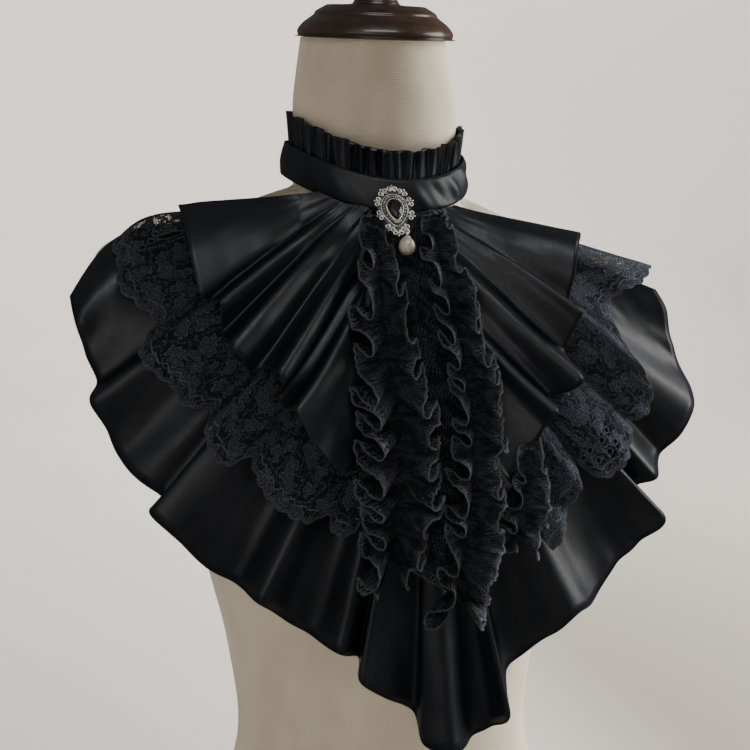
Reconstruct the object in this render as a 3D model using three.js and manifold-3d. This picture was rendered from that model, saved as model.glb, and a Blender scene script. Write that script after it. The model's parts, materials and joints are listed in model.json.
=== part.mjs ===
// A black satin and lace jabot with a stand-up frilled collar and a pinned drop
// brooch, shown on a limbless dress form with a turned wooden neck cap.
// Millimetres, +Z up. The origin is the middle of the form's flat underside, and
// the wearer faces -Y, so the wearer's right hand is on the -X side.

import * as THREE from "three";
import Module from "manifold-3d";
import { mergeVertices } from "three/addons/utils/BufferGeometryUtils.js";

const wasm = await Module();
wasm.setup();

// Driving dimensions
const SATIN_WALL = 1.2;
const LACE_WALL = 1.2;
const SEAM_GAP = 0.5;
const SKIN_CLEARANCE = 0.4;

const NECK_TOP_Z = 681;
const NECK_TOP_TILT_DEG = 7;
const SHOULDER_TILT = 0.05;

const COLLAR_HALF_WIDTH = 63;
const COLLAR_HALF_DEPTH = 64;
const COLLAR_OFFSET_X = -1;
const COLLAR_TILT = 10.9;
const COLLAR_DIP = 5.2;
const COLLAR_SIDE_DROP = 3;
const COLLAR_MIDDLE_Z = 583.3;
const COLLAR_LEAN = 0.1;
const COLLAR_TAPER = 0.12;
const BAND_HEIGHT = 20;
const BAND_WALL = 2;
const BACK_OPENING_DEG = 5;
const FRILL_HEIGHT = 18.5;
const FRILL_TUCK = 3;
const FRILL_WAVES = 44;
const FRILL_WALL = 1;
const FRILL_SPREAD = { foot: 0.2, top: 4.1 };
const FRILL_DEPTH = { foot: 0.7, side: 1.2, front: 2.4 };

// The form's torso and shoulders. half is half its width at height z, front and
// back are its depths from the middle plane, middle is how far it leans across,
// full is 2 for an ellipse.
const TORSO = [
  { z: 0, half: 150, front: 108, back: 108, middle: 0, full: 2.2 },
  { z: 50, half: 149, front: 107, back: 110, middle: 1, full: 2.2 },
  { z: 120, half: 131, front: 97, back: 99, middle: 3, full: 2.1 },
  { z: 200, half: 103, front: 86, back: 78, middle: 4.5, full: 2.1 },
  { z: 270, half: 108, front: 94, back: 78, middle: 4, full: 2.1 },
  { z: 330, half: 121, front: 107, back: 83, middle: 3, full: 2.1 },
  { z: 372, half: 130, front: 115, back: 88, middle: 2.5, full: 2.1 },
  { z: 430, half: 145, front: 105, back: 94, middle: 2, full: 2.1 },
  { z: 480, half: 168, front: 88, back: 92, middle: 1, full: 2.1 },
  { z: 509, half: 186, front: 70, back: 80, middle: 1, full: 2.1 },
  { z: 526, half: 189, front: 57, back: 67, middle: 1, full: 2.1 },
  { z: 539, half: 178, front: 45, back: 55, middle: 0, full: 2.0 },
  { z: 551, half: 148, front: 34, back: 45, middle: 0, full: 1.9 },
  { z: 566, half: 98, front: 22, back: 32, middle: 0, full: 1.8 },
  { z: 580, half: 60, front: 10, back: 18, middle: 0, full: 1.8 },
  { z: 589, half: 30, front: 1, back: 1, middle: 0, full: 1.8 },
];

// The neck, which runs on down inside the shoulders.
const NECK = [
  { z: 480, half: 72, front: 66, back: 60, middle: 0, full: 2 },
  { z: 532, half: 68, front: 61, back: 58, middle: 0, full: 2 },
  { z: 560, half: 61, front: 57.5, back: 55, middle: 0, full: 2 },
  { z: 577, half: 57, front: 55.5, back: 53.5, middle: 0, full: 2 },
  { z: 592, half: 54.2, front: 54, back: 52.5, middle: 0, full: 2 },
  { z: 612, half: 54.2, front: 54.5, back: 51, middle: -0.5, full: 2 },
  { z: 638, half: 55, front: 56, back: 49, middle: -0.5, full: 2 },
  { z: 660, half: 51.5, front: 56, back: 46, middle: -1.5, full: 2 },
  { z: NECK_TOP_Z, half: 48, front: 56, back: 41, middle: -2, full: 2 },
];

// How far the hanging cloth stands forward: on the middle line and 200 mm out.
const DRAPE = [
  { z: 180, middle: 112, side: 66 },
  { z: 240, middle: 116, side: 66 },
  { z: 300, middle: 120, side: 66 },
  { z: 370, middle: 121, side: 62 },
  { z: 430, middle: 111, side: 55 },
  { z: 480, middle: 96, side: 46 },
  { z: 532, middle: 74, side: 34 },
  { z: 560, middle: 66, side: 26 },
  { z: 590, middle: 60, side: 20 },
];

// Where the frills are sewn: round under the band, then down the middle line.
// at runs from -1 at the right side of the neck, past 0 at the bottom of the
// middle line, to 1 at the left side.
const SEAM = [
  { at: -1, x: -54, z: 578.5 },
  { at: -0.82, x: -35, z: 569.8 },
  { at: -0.66, x: -19, z: 565.4 },
  { at: -0.5, x: -11, z: 545 },
  { at: -0.25, x: -7, z: 505 },
  { at: 0, x: 0, z: 465 },
  { at: 0.25, x: 7, z: 505 },
  { at: 0.5, x: 10, z: 545 },
  { at: 0.66, x: 16, z: 564 },
  { at: 0.82, x: 27, z: 565.7 },
  { at: 1, x: 41, z: 569 },
];

// How the cloth's back comes in to the band: how far inside the band's face, and
// how far below and beyond the band it has left it.
const SEAT = { inside: 3.6, widest: 0.8, leavesBelow: 45, below: 2, sideFrom: 50, sideTo: 90 };

// Each row is a fold's crest or trough at the hem: where its line leaves the seam,
// its place on the chest and its height off the chest. Rows run from the
// wearer's right shoulder, under the chest, to the left shoulder.
const BASE_FOLDS = [
  { seam: -1.0, x: -201, z: 514, lift: 8 },
  { seam: -0.96, x: -194, z: 500, lift: 16 },
  { seam: -0.92, x: -193, z: 483, lift: 8 },
  { seam: -0.88, x: -189, z: 466, lift: 4 },
  { seam: -0.84, x: -186, z: 457, lift: 20 },
  { seam: -0.8, x: -182, z: 440, lift: 12 },
  { seam: -0.76, x: -178, z: 421, lift: 4 },
  { seam: -0.72, x: -165, z: 407, lift: 9 },
  { seam: -0.68, x: -154, z: 397, lift: 4 },
  { seam: -0.64, x: -155, z: 392, lift: 22 },
  { seam: -0.6, x: -144, z: 378, lift: 20 },
  { seam: -0.55, x: -129, z: 357, lift: 8 },
  { seam: -0.5, x: -114, z: 345, lift: 4 },
  { seam: -0.45, x: -98, z: 340, lift: 24 },
  { seam: -0.4, x: -85, z: 324, lift: 8 },
  { seam: -0.35, x: -69, z: 312, lift: 4 },
  { seam: -0.3, x: -55, z: 308, lift: 22 },
  { seam: -0.25, x: -42, z: 298, lift: 6 },
  { seam: -0.2, x: -43, z: 290, lift: 24 },
  { seam: -0.15, x: -27, z: 275, lift: 14 },
  { seam: -0.1, x: -8, z: 261, lift: 5 },
  { seam: -0.06, x: -5, z: 245, lift: 21 },
  { seam: 0.0, x: 11, z: 241, lift: 29 },
  { seam: 0.05, x: 30, z: 240, lift: 8 },
  { seam: 0.1, x: 43, z: 245, lift: 6 },
  { seam: 0.14, x: 47, z: 256, lift: 23 },
  { seam: 0.19, x: 52, z: 280, lift: 7 },
  { seam: 0.24, x: 70, z: 291, lift: 5 },
  { seam: 0.3, x: 87, z: 315, lift: 25 },
  { seam: 0.35, x: 115, z: 319, lift: 10 },
  { seam: 0.4, x: 134, z: 336, lift: 5 },
  { seam: 0.45, x: 152, z: 351, lift: 10 },
  { seam: 0.5, x: 155, z: 369, lift: 27 },
  { seam: 0.55, x: 153, z: 386, lift: 5 },
  { seam: 0.6, x: 158, z: 394, lift: 19 },
  { seam: 0.65, x: 177, z: 405, lift: 5 },
  { seam: 0.7, x: 182, z: 420, lift: 19 },
  { seam: 0.76, x: 190, z: 438, lift: 22 },
  { seam: 0.82, x: 200, z: 456, lift: 8 },
  { seam: 0.88, x: 192, z: 479, lift: 6 },
  { seam: 0.94, x: 184, z: 499, lift: 11 },
  { seam: 1.0, x: 174, z: 511, lift: 14 },
];

const LACE_RIGHT_FOLDS = [
  { seam: -0.98, x: -172, z: 544, lift: 11 },
  { seam: -0.93, x: -167, z: 531, lift: 17 },
  { seam: -0.88, x: -165, z: 518, lift: 22 },
  { seam: -0.83, x: -157, z: 510, lift: 18 },
  { seam: -0.78, x: -149, z: 502, lift: 14 },
  { seam: -0.73, x: -155, z: 487, lift: 22 },
  { seam: -0.69, x: -153, z: 477, lift: 18 },
  { seam: -0.65, x: -141, z: 465, lift: 14 },
  { seam: -0.61, x: -133, z: 457, lift: 23 },
  { seam: -0.57, x: -121, z: 452, lift: 15 },
  { seam: -0.53, x: -122, z: 442, lift: 23 },
  { seam: -0.49, x: -121, z: 428, lift: 18 },
  { seam: -0.45, x: -114, z: 420, lift: 14 },
  { seam: -0.41, x: -101, z: 426, lift: 15 },
  { seam: -0.37, x: -97, z: 420, lift: 25 },
  { seam: -0.33, x: -90, z: 403, lift: 27 },
  { seam: -0.28, x: -72, z: 388, lift: 23 },
  { seam: -0.24, x: -59, z: 391, lift: 14 },
  { seam: -0.2, x: -57, z: 382, lift: 22 },
  { seam: -0.16, x: -46, z: 380, lift: 18 },
  { seam: -0.12, x: -36, z: 394, lift: 13 },
  { seam: -0.07, x: -22, z: 386, lift: 12 },
];

const LACE_LEFT_FOLDS = [
  { seam: 0.05, x: 16, z: 371, lift: 13 },
  { seam: 0.1, x: 32, z: 380, lift: 12 },
  { seam: 0.15, x: 50, z: 391, lift: 13 },
  { seam: 0.19, x: 60, z: 384, lift: 14 },
  { seam: 0.23, x: 73, z: 362, lift: 22 },
  { seam: 0.28, x: 80, z: 370, lift: 22 },
  { seam: 0.33, x: 88, z: 383, lift: 14 },
  { seam: 0.38, x: 92, z: 397, lift: 24 },
  { seam: 0.43, x: 97, z: 411, lift: 15 },
  { seam: 0.47, x: 112, z: 401, lift: 20 },
  { seam: 0.52, x: 126, z: 410, lift: 25 },
  { seam: 0.56, x: 135, z: 427, lift: 21 },
  { seam: 0.6, x: 137, z: 434, lift: 14 },
  { seam: 0.65, x: 147, z: 436, lift: 20 },
  { seam: 0.7, x: 150, z: 449, lift: 25 },
  { seam: 0.76, x: 140, z: 473, lift: 25 },
  { seam: 0.81, x: 132, z: 489, lift: 19 },
  { seam: 0.86, x: 131, z: 501, lift: 15 },
  { seam: 0.9, x: 138, z: 511, lift: 14 },
  { seam: 0.94, x: 158, z: 517, lift: 20 },
  { seam: 0.98, x: 174, z: 525, lift: 15 },
];

const SATIN_RIGHT_FOLDS = [
  { seam: -0.96, x: -129, z: 558, lift: 26 },
  { seam: -0.92, x: -124, z: 534, lift: 34 },
  { seam: -0.88, x: -120, z: 514, lift: 32 },
  { seam: -0.84, x: -116, z: 511, lift: 25 },
  { seam: -0.8, x: -108, z: 507, lift: 42 },
  { seam: -0.76, x: -111, z: 495, lift: 25 },
  { seam: -0.72, x: -104, z: 490, lift: 43 },
  { seam: -0.69, x: -99, z: 483, lift: 40 },
  { seam: -0.66, x: -97, z: 475, lift: 26 },
  { seam: -0.63, x: -89, z: 478, lift: 26 },
  { seam: -0.6, x: -81, z: 477, lift: 43 },
  { seam: -0.57, x: -79, z: 469, lift: 39 },
  { seam: -0.54, x: -83, z: 461, lift: 27 },
  { seam: -0.51, x: -80, z: 454, lift: 29 },
  { seam: -0.48, x: -73, z: 454, lift: 41 },
  { seam: -0.44, x: -66, z: 437, lift: 38 },
  { seam: -0.4, x: -50, z: 418, lift: 31 },
  { seam: -0.36, x: -41, z: 430, lift: 22 },
  { seam: -0.32, x: -37, z: 429, lift: 25 },
  { seam: -0.28, x: -36, z: 411, lift: 22 },
  { seam: -0.23, x: -24, z: 409, lift: 18 },
];

const SATIN_LEFT_FOLDS = [
  { seam: 0.03, x: 5, z: 402, lift: 17 },
  { seam: 0.08, x: 20, z: 396, lift: 18 },
  { seam: 0.13, x: 34, z: 393, lift: 21 },
  { seam: 0.18, x: 43, z: 402, lift: 28 },
  { seam: 0.23, x: 45, z: 410, lift: 23 },
  { seam: 0.28, x: 56, z: 420, lift: 24 },
  { seam: 0.33, x: 65, z: 436, lift: 31 },
  { seam: 0.38, x: 68, z: 448, lift: 42 },
  { seam: 0.43, x: 74, z: 454, lift: 24 },
  { seam: 0.48, x: 81, z: 456, lift: 28 },
  { seam: 0.54, x: 86, z: 466, lift: 42 },
  { seam: 0.6, x: 88, z: 480, lift: 24 },
  { seam: 0.66, x: 91, z: 495, lift: 36 },
  { seam: 0.71, x: 92, z: 501, lift: 40 },
  { seam: 0.76, x: 94, z: 506, lift: 26 },
  { seam: 0.82, x: 95, z: 519, lift: 35 },
  { seam: 0.89, x: 99, z: 532, lift: 37 },
  { seam: 0.95, x: 111, z: 541, lift: 26 },
];

// Rows of the wall are closer together near the seam.
const ROWS_CLOSE_UP = 1.45;

// The right lace tier's top edge stands off the shoulder, over its cutwork, and the
// base flounce's is drawn up under it.
const STANDING_EDGE = { lift: 6.5, up: 5.5, folds: 1.4, late: 2.8 };
const DRAWN_UP_EDGE = { lift: 0, up: 22, folds: 3, late: 2.5 };

// Cutwork through the lace: its place along the folds and down from the seam, and
// its half sizes across and down.
const SHOULDER_CUTWORK = [
  { fold: 0.86, down: 0.882, across: 2.1, deep: 2.1 },
  { fold: 0.75, down: 0.842, across: 2.1, deep: 2.1 },
  { fold: 0.66, down: 0.81, across: 2.1, deep: 2.1 },
  { fold: 0.57, down: 0.775, across: 2.1, deep: 2.1 },
  { fold: 0.5, down: 0.738, across: 2.1, deep: 2.1 },
  { fold: 0.46, down: 0.694, across: 2.1, deep: 2.1 },
  { fold: 0.82, down: 0.75, across: 2.5, deep: 8.5 },
];
const SCALLOP_CUTWORK = [
  { fold: 8.75, down: 0.928, across: 2.1, deep: 2.1 },
  { fold: 9.31, down: 0.89, across: 2.1, deep: 2.1 },
  { fold: 9.88, down: 0.885, across: 2.1, deep: 2.1 },
  { fold: 10.25, down: 0.89, across: 2.1, deep: 2.1 },
  { fold: 9.3, down: 0.94, across: 2.1, deep: 2.1 },
  { fold: 9.78, down: 0.935, across: 2.1, deep: 2.1 },
  { fold: 10.2, down: 0.94, across: 2.1, deep: 2.1 },
];
const CUT_REACH = 3;

// Each flounce: lift where it leaves the seam, how late its folds rise towards the
// hem, and how finely its wall is divided.
const FLOUNCES = [
  { name: "base_flounce", folds: BASE_FOLDS, seamLift: 1.0, rise: 1.9, wall: SATIN_WALL, across: 2, down: 6, slot: "satin", edge: DRAWN_UP_EDGE },
  { name: "lace_tier_right", folds: LACE_RIGHT_FOLDS, seamLift: 3.25, rise: 1.5, wall: LACE_WALL, across: 2, down: 5, slot: "lace", edge: STANDING_EDGE, cutwork: SHOULDER_CUTWORK },
  { name: "lace_tier_left", folds: LACE_LEFT_FOLDS, seamLift: 3.25, rise: 1.5, wall: LACE_WALL, across: 2, down: 5, slot: "lace", cutwork: SCALLOP_CUTWORK },
  { name: "satin_tier_right", folds: SATIN_RIGHT_FOLDS, seamLift: 5.25, rise: 1.3, wall: SATIN_WALL, across: 3, down: 5, slot: "satin" },
  { name: "satin_tier_left", folds: SATIN_LEFT_FOLDS, seamLift: 5.25, rise: 1.3, wall: SATIN_WALL, across: 3, down: 5, slot: "satin" },
];

// Double-edged lace ruffles sewn down the front, from the top to the tail. lift is
// the sewn line's height off the chest, to the face of the gathered lace panel that
// they are sewn to; right and left are the free widths.
const CASCADES = [
  {
    name: "ruffle_right",
    waves: 11,
    overPanel: true,
    line: [
      { x: -18, z: 559, lift: 9.1, right: 7, left: 5 },
      { x: -20, z: 517, lift: 14.1, right: 20, left: 15 },
      { x: -20, z: 481, lift: 18.1, right: 24, left: 18 },
      { x: -18, z: 447, lift: 21.1, right: 22, left: 19 },
      { x: -19, z: 414, lift: 23.1, right: 24, left: 19 },
      { x: -22, z: 386, lift: 21.1, right: 25, left: 19 },
      { x: -27, z: 364, lift: 18.1, right: 26, left: 22 },
    ],
  },
  {
    name: "ruffle_left",
    waves: 14,
    overPanel: true,
    line: [
      { x: 17, z: 559, lift: 8.1, right: 6, left: 10 },
      { x: 20, z: 520, lift: 13.5, right: 13, left: 14 },
      { x: 23, z: 489, lift: 17.5, right: 16, left: 15 },
      { x: 25, z: 454, lift: 20.5, right: 17, left: 16 },
      { x: 23, z: 415, lift: 22.5, right: 17, left: 17 },
      { x: 17, z: 375, lift: 20.5, right: 18, left: 18 },
      { x: 9, z: 340, lift: 17.5, right: 26, left: 26 },
    ],
  },
  {
    name: "ruffle_side",
    waves: 4,
    overPanel: false,
    line: [
      { x: 53.3, z: 430, lift: 29.9, right: 6, left: 8 },
      { x: 53.3, z: 408, lift: 25.4, right: 9, left: 14 },
      { x: 52, z: 388, lift: 19.3, right: 12, left: 16 },
      { x: 51, z: 372, lift: 17.3, right: 15, left: 22 },
    ],
  },
];
const RUFFLE_OVER_PANEL = 2.15;
const RUFFLE_LOW_DEG = 14;
const RUFFLE_HIGH_DEG = 60;
const RUFFLE_DROOP_SHARE = 0.13;
const RUFFLE_CURL_SHARE = 0.085;
const RUFFLE_FULL_WIDTH = 16;
const RUFFLE_END_TURN_DEG = 50;
const RUFFLE_STEPS_PER_WAVE = 7;
const RUFFLE_STEPS_ACROSS = 2;

// The gathered lace panel down the middle, between the two long ruffles.
const PANEL = { down: 28, across: 6, beyond: 0.04, tuck: 3.5, tuckShare: 0.08, gathers: 9, depth: 0.8 };
const PANEL_HOLLOW = { depth: 5.4, from: 0.1, to: 0.4 };

// The brooch, in its own plane: x across, y up, from the stone's middle. The pearl
// hangs by an eye round the wire at the bottom of the plate's ring.
const BROOCH = { x: -7.7, z: 569.5, y: -74.6, tilt: 30, thick: 2, halfWidth: 12.6, top: 14.5, bottom: 18.6 };
const RING = { x: 5.6, y: -14.7, radius: 1.6, wire: 0.45 };
const EYE = { radius: 1.4, wire: 0.4, play: 0.15 };
const BROOCH_LOBES = 13;
const PIN = { up: 7.5, halfLength: 7, behind: 5.6, stem: 0.6, post: 0.9, foot: 0.4 };
const STONE = { halfWidth: 5, top: 5.4, bottom: 9.2, height: 3, tableShare: 0.6 };
const PEARL = { radius: 5.6, length: 12.4 };

const SLOTS = {
  linen: { color: 0xc6bda6, roughness: 0.9, metalness: 0 },
  wood: { color: 0x4a3b32, roughness: 0.35, metalness: 0 },
  satin: { color: 0x0c0c10, roughness: 0.38, metalness: 0 },
  lace: { color: 0x101318, roughness: 0.85, metalness: 0 },
  silver: { color: 0xc9c4b8, roughness: 0.3, metalness: 1 },
  stone: { color: 0x050506, roughness: 0.08, metalness: 0 },
  pearl: { color: 0xd8cfc2, roughness: 0.22, metalness: 0 },
};

const radians = THREE.MathUtils.degToRad;
const lerp = THREE.MathUtils.lerp;

// A smooth curve through a table's rows: the named columns at one place.
function tableAt(rows, key, at, columns) {
  let i = 1;
  while (i < rows.length - 1 && rows[i][key] < at) i++;
  const a = rows[i - 1];
  const b = rows[i];
  const before = rows[Math.max(i - 2, 0)];
  const after = rows[Math.min(i + 1, rows.length - 1)];
  const span = b[key] - a[key];
  const t = Math.min(Math.max((at - a[key]) / span, 0), 1);
  const found = {};
  for (const c of columns) {
    const slopeA = (b[c] - before[c]) / (b[key] - before[key]);
    const slopeB = (after[c] - a[c]) / (after[key] - a[key]);
    found[c] =
      (2 * t ** 3 - 3 * t ** 2 + 1) * a[c] +
      (t ** 3 - 2 * t ** 2 + t) * span * slopeA +
      (3 * t ** 2 - 2 * t ** 3) * b[c] +
      (t ** 3 - t ** 2) * span * slopeB;
  }
  return found;
}

// A smooth curve through evenly numbered rows, at row number u.
function throughRows(rows, u, columns) {
  const i = Math.min(Math.floor(u), rows.length - 2);
  const t = u - i;
  const four = [-1, 0, 1, 2].map((k) => rows[Math.min(Math.max(i + k, 0), rows.length - 1)]);
  const found = {};
  for (const c of columns) {
    const [p, a, b, n] = four.map((row) => row[c]);
    found[c] = a + 0.5 * t * (b - p + t * (2 * p - 5 * a + 4 * b - n + t * (3 * (a - b) + n - p)));
  }
  return found;
}

function smoothMax(a, b, blend) {
  const top = Math.max(a, b);
  return top + blend * Math.log(Math.exp((a - top) / blend) + Math.exp((b - top) / blend));
}

function smoothStep(low, high, value) {
  const t = Math.min(Math.max((value - low) / (high - low), 0), 1);
  return t * t * (3 - 2 * t);
}

// The form's surface
const SECTION_COLUMNS = ["half", "front", "back", "middle", "full"];
const OUTSIDE = -200;
const SHOULDER_BLEND = 5;

function shoulderDrop(x, z) {
  return SHOULDER_TILT * x * smoothStep(400, 500, z) * (1 - smoothStep(595, 640, z));
}

function sectionDepth(row, side, x) {
  const share = Math.abs(x - row.middle) / row.half;
  return share >= 1 ? OUTSIDE : row[side] * (1 - share ** row.full) ** (1 / row.full);
}

function bodyDepth(side, x, atZ) {
  const z = Math.min(atZ + shoulderDrop(x, atZ), NECK_TOP_Z);
  const torso = z < TORSO.at(-1).z ? sectionDepth(tableAt(TORSO, "z", z, SECTION_COLUMNS), side, x) : OUTSIDE;
  const neck = z > NECK[0].z ? sectionDepth(tableAt(NECK, "z", z, SECTION_COLUMNS), side, x) : OUTSIDE;
  return smoothMax(torso, neck, SHOULDER_BLEND);
}

function widestSection(z) {
  const torso = tableAt(TORSO, "z", z, SECTION_COLUMNS);
  const neck = tableAt(NECK, "z", z, SECTION_COLUMNS);
  return z < TORSO.at(-1).z && torso.half > neck.half ? torso : neck;
}

// The collar. angle is 0 at the front and grows towards the wearer's left.
function collarPoint(angle, height, outwards) {
  const taper = height * COLLAR_TAPER;
  const x = COLLAR_OFFSET_X + (COLLAR_HALF_WIDTH - taper + outwards) * Math.sin(angle);
  const y = -(COLLAR_HALF_DEPTH - taper + outwards) * Math.cos(angle) - height * COLLAR_LEAN;
  const sag = COLLAR_TILT * Math.cos(angle) + COLLAR_DIP * Math.cos(2 * angle) + COLLAR_SIDE_DROP * Math.sin(angle);
  return new THREE.Vector3(x, y, COLLAR_MIDDLE_Z - sag + height);
}

// The chest as cloth sees it. A place is x across, z up and a lift off the chest;
// the lift runs outwards along lines that spread and never meet, so pieces that
// keep their order in lift never touch.
const RIDGE = { x: 62, z: 590, slope: 0.345, neckSlope: 1.2, ease: 16 };
const DRAPE_HALF_SPAN = 200;
const DRAPE_CURVE = 1.7;
const SIDE_SPREAD = 300;
const DRAPE_BLEND = 2.5;
const SHOULDER_RISE = { from: 470, to: 590, most: 0.9 };

function shoulderRidge(x) {
  const out = Math.abs(x) - RIDGE.x;
  return RIDGE.z - out * (out > 0 ? RIDGE.slope : RIDGE.neckSlope);
}

function bandFront(x) {
  const share = (x - COLLAR_OFFSET_X) / COLLAR_HALF_WIDTH;
  const angle = SEAT.widest * Math.tanh(Math.asin(Math.min(Math.max(share, -0.97), 0.97)) / SEAT.widest);
  return { z: collarPoint(angle, 0, 0).z, depth: (COLLAR_HALF_DEPTH - SEAT.inside) * Math.cos(angle) };
}

function drapeDepth(x, z) {
  const row = tableAt(DRAPE, "z", z, ["middle", "side"]);
  const hanging = row.middle - (row.middle - row.side) * (Math.abs(x) / DRAPE_HALF_SPAN) ** DRAPE_CURVE;
  const below = shoulderRidge(x) - z;
  const wrapped = below > 0 ? hanging * (1 - Math.exp(-below / RIDGE.ease)) : below;
  const band = bandFront(x);
  const held =
    smoothStep(band.z - SEAT.leavesBelow, band.z - SEAT.below, z) * (1 - smoothStep(SEAT.sideFrom, SEAT.sideTo, Math.abs(x)));
  return smoothMax(bodyDepth("front", x, z) + SKIN_CLEARANCE, lerp(wrapped, band.depth, held), DRAPE_BLEND);
}

function onChest(x, z, lift) {
  const rise = SHOULDER_RISE.most * smoothStep(SHOULDER_RISE.from, SHOULDER_RISE.to, z);
  const outwards = new THREE.Vector3(x / SIDE_SPREAD, -1, rise).normalize();
  return new THREE.Vector3(x, -drapeDepth(x, z), z).addScaledVector(outwards, lift);
}

function seamPlace(at) {
  return tableAt(SEAM, "at", at, ["x", "z"]);
}

// Closed meshes
function closedMesh(points, faces) {
  const positions = points.flatMap((p) => [p.x, p.y, p.z]);
  let volume = 0;
  for (const [a, b, c] of faces) {
    volume += points[a].dot(new THREE.Vector3().crossVectors(points[b], points[c]));
  }
  const order = volume < 0 ? faces.map(([a, b, c]) => [a, c, b]) : faces;
  const geometry = new THREE.BufferGeometry();
  geometry.setAttribute("position", new THREE.Float32BufferAttribute(positions, 3));
  geometry.setIndex(order.flat());
  geometry.computeVertexNormals();
  return geometry;
}

function quads(rows, columns, cornerAt, round) {
  const faces = [];
  for (let r = 0; r < rows - 1; r++) {
    for (let c = 0; c < columns - (round ? 0 : 1); c++) {
      const next = (c + 1) % columns;
      const [a, b, d, e] = [cornerAt(r, c), cornerAt(r, next), cornerAt(r + 1, next), cornerAt(r + 1, c)];
      faces.push([a, b, d], [a, d, e]);
    }
  }
  return faces;
}

// A wall of cloth round a middle surface, grid[row][column].
function clothWall(grid, wall, round = false) {
  const rows = grid.length;
  const columns = grid[0].length;
  const pick = (r, c) => {
    const row = grid[Math.min(Math.max(r, 0), rows - 1)];
    return round ? row[(c + columns) % columns] : row[Math.min(Math.max(c, 0), columns - 1)];
  };
  const points = [];
  for (const side of [0.5, -0.5]) {
    for (let r = 0; r < rows; r++) {
      for (let c = 0; c < columns; c++) {
        const along = pick(r, c + 1).clone().sub(pick(r, c - 1));
        const down = pick(r + 1, c).clone().sub(pick(r - 1, c));
        const normal = along.cross(down).normalize();
        points.push(grid[r][c].clone().addScaledVector(normal, side * wall));
      }
    }
  }
  const count = rows * columns;
  const outer = (r, c) => r * columns + c;
  const inner = (r, c) => count + outer(r, c);
  const faces = quads(rows, columns, outer, round);
  faces.push(...quads(rows, columns, inner, round).map(([a, b, c]) => [a, c, b]));
  faces.push(...quads(2, columns, (k, c) => (k ? outer(0, c) : inner(0, c)), round));
  faces.push(...quads(2, columns, (k, c) => (k ? inner(rows - 1, c) : outer(rows - 1, c)), round));
  if (!round) {
    faces.push(...quads(2, rows, (k, r) => (k ? inner(r, 0) : outer(r, 0)), false));
    faces.push(...quads(2, rows, (k, r) => (k ? outer(r, columns - 1) : inner(r, columns - 1)), false));
  }
  return closedMesh(points, faces);
}

// A solid through closed rings of points, with a flat cap at each end.
function loft(rings) {
  const columns = rings[0].length;
  const points = rings.flat();
  const faces = quads(rings.length, columns, (r, c) => r * columns + c, true);
  const last = (rings.length - 1) * columns;
  const caps = THREE.ShapeUtils.triangulateShape(
    rings[0].map((p) => new THREE.Vector2(p.x, p.y)),
    [],
  );
  const turned = THREE.ShapeUtils.area(rings[0].map((p) => new THREE.Vector2(p.x, p.y))) > 0;
  for (const [a, b, c] of caps) {
    faces.push(turned ? [c, b, a] : [a, b, c]);
    faces.push(turned ? [last + a, last + b, last + c] : [last + c, last + b, last + a]);
  }
  return closedMesh(points, faces);
}

// The dress form
const FORM_RING_POINTS = 26;
const FORM_LEVELS = [
  0, 25, 60, 105, 150, 200, 250, 300, 340, 372, 405, 435, 463, 488, 508, 524, 536, 546, 555, 563, 571, 579, 586, 593,
  602, 622, 650, NECK_TOP_Z,
];

function formRing(z) {
  const { half, middle } = z < NECK[0].z ? tableAt(TORSO, "z", z, SECTION_COLUMNS) : widestSection(z);
  const tilt = smoothStep(622, NECK_TOP_Z, z) * Math.tan(radians(NECK_TOP_TILT_DEG));
  const ring = [];
  for (let k = 0; k < FORM_RING_POINTS; k++) {
    const angle = (2 * Math.PI * k) / FORM_RING_POINTS;
    const x = half * Math.cos(angle);
    const forward = Math.sin(angle) > 0;
    const drop = shoulderDrop(x + middle, z);
    const depth = Math.max(bodyDepth(forward ? "front" : "back", x * 0.99999 + middle, z - drop), 0);
    const y = forward ? -depth : depth;
    ring.push(new THREE.Vector3(x + middle, y, z - drop + tilt * y));
  }
  return ring;
}

function formTorso() {
  return loft(FORM_LEVELS.map(formRing));
}

function neckCap() {
  const profile = [
    [0, 0], [49.5, 0], [51, 1.2], [51.6, 3.6], [50.4, 6.2], [47.5, 9.5], [42.5, 13.2], [40.8, 14.6], [39.5, 16.8],
    [33.6, 20.2], [31.2, 21], [17.5, 21.6], [15, 23.2], [13.6, 26], [14.4, 29], [18.4, 33.5], [20.4, 39.5],
    [19.2, 45.5], [14.6, 50.5], [7.6, 53.2], [0, 54],
  ];
  return new THREE.LatheGeometry(profile.map(([r, h]) => new THREE.Vector2(r, h)), 16);
}

// The collar's parts
function collarSweep(steps, heights, outwards) {
  const opening = radians(BACK_OPENING_DEG / 2);
  return heights.map((height, r) => {
    const row = [];
    for (let c = 0; c <= steps; c++) {
      const angle = lerp(-Math.PI + opening, Math.PI - opening, c / steps);
      row.push(collarPoint(angle, height, outwards(angle, r / (heights.length - 1))));
    }
    return row;
  });
}

function collarBand() {
  return clothWall(collarSweep(40, [0, BAND_HEIGHT / 2, BAND_HEIGHT], (angle, up) => 1.2 * Math.sin(Math.PI * up) - BAND_WALL / 2), BAND_WALL);
}

function collarFrill() {
  const root = -BAND_WALL - SEAM_GAP - FRILL_WALL / 2 - 1.8;
  const wave = (angle, up) => {
    const front = smoothStep(0.1, 0.9, Math.cos(angle));
    const depth = lerp(FRILL_DEPTH.foot, lerp(FRILL_DEPTH.side, FRILL_DEPTH.front, front), up);
    return root + lerp(FRILL_SPREAD.foot, FRILL_SPREAD.top, up) + depth * Math.cos(FRILL_WAVES * angle);
  };
  const heights = [BAND_HEIGHT - FRILL_TUCK, BAND_HEIGHT + FRILL_HEIGHT];
  return clothWall(collarSweep(FRILL_WAVES * 4, heights, wave), FRILL_WALL);
}

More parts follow.
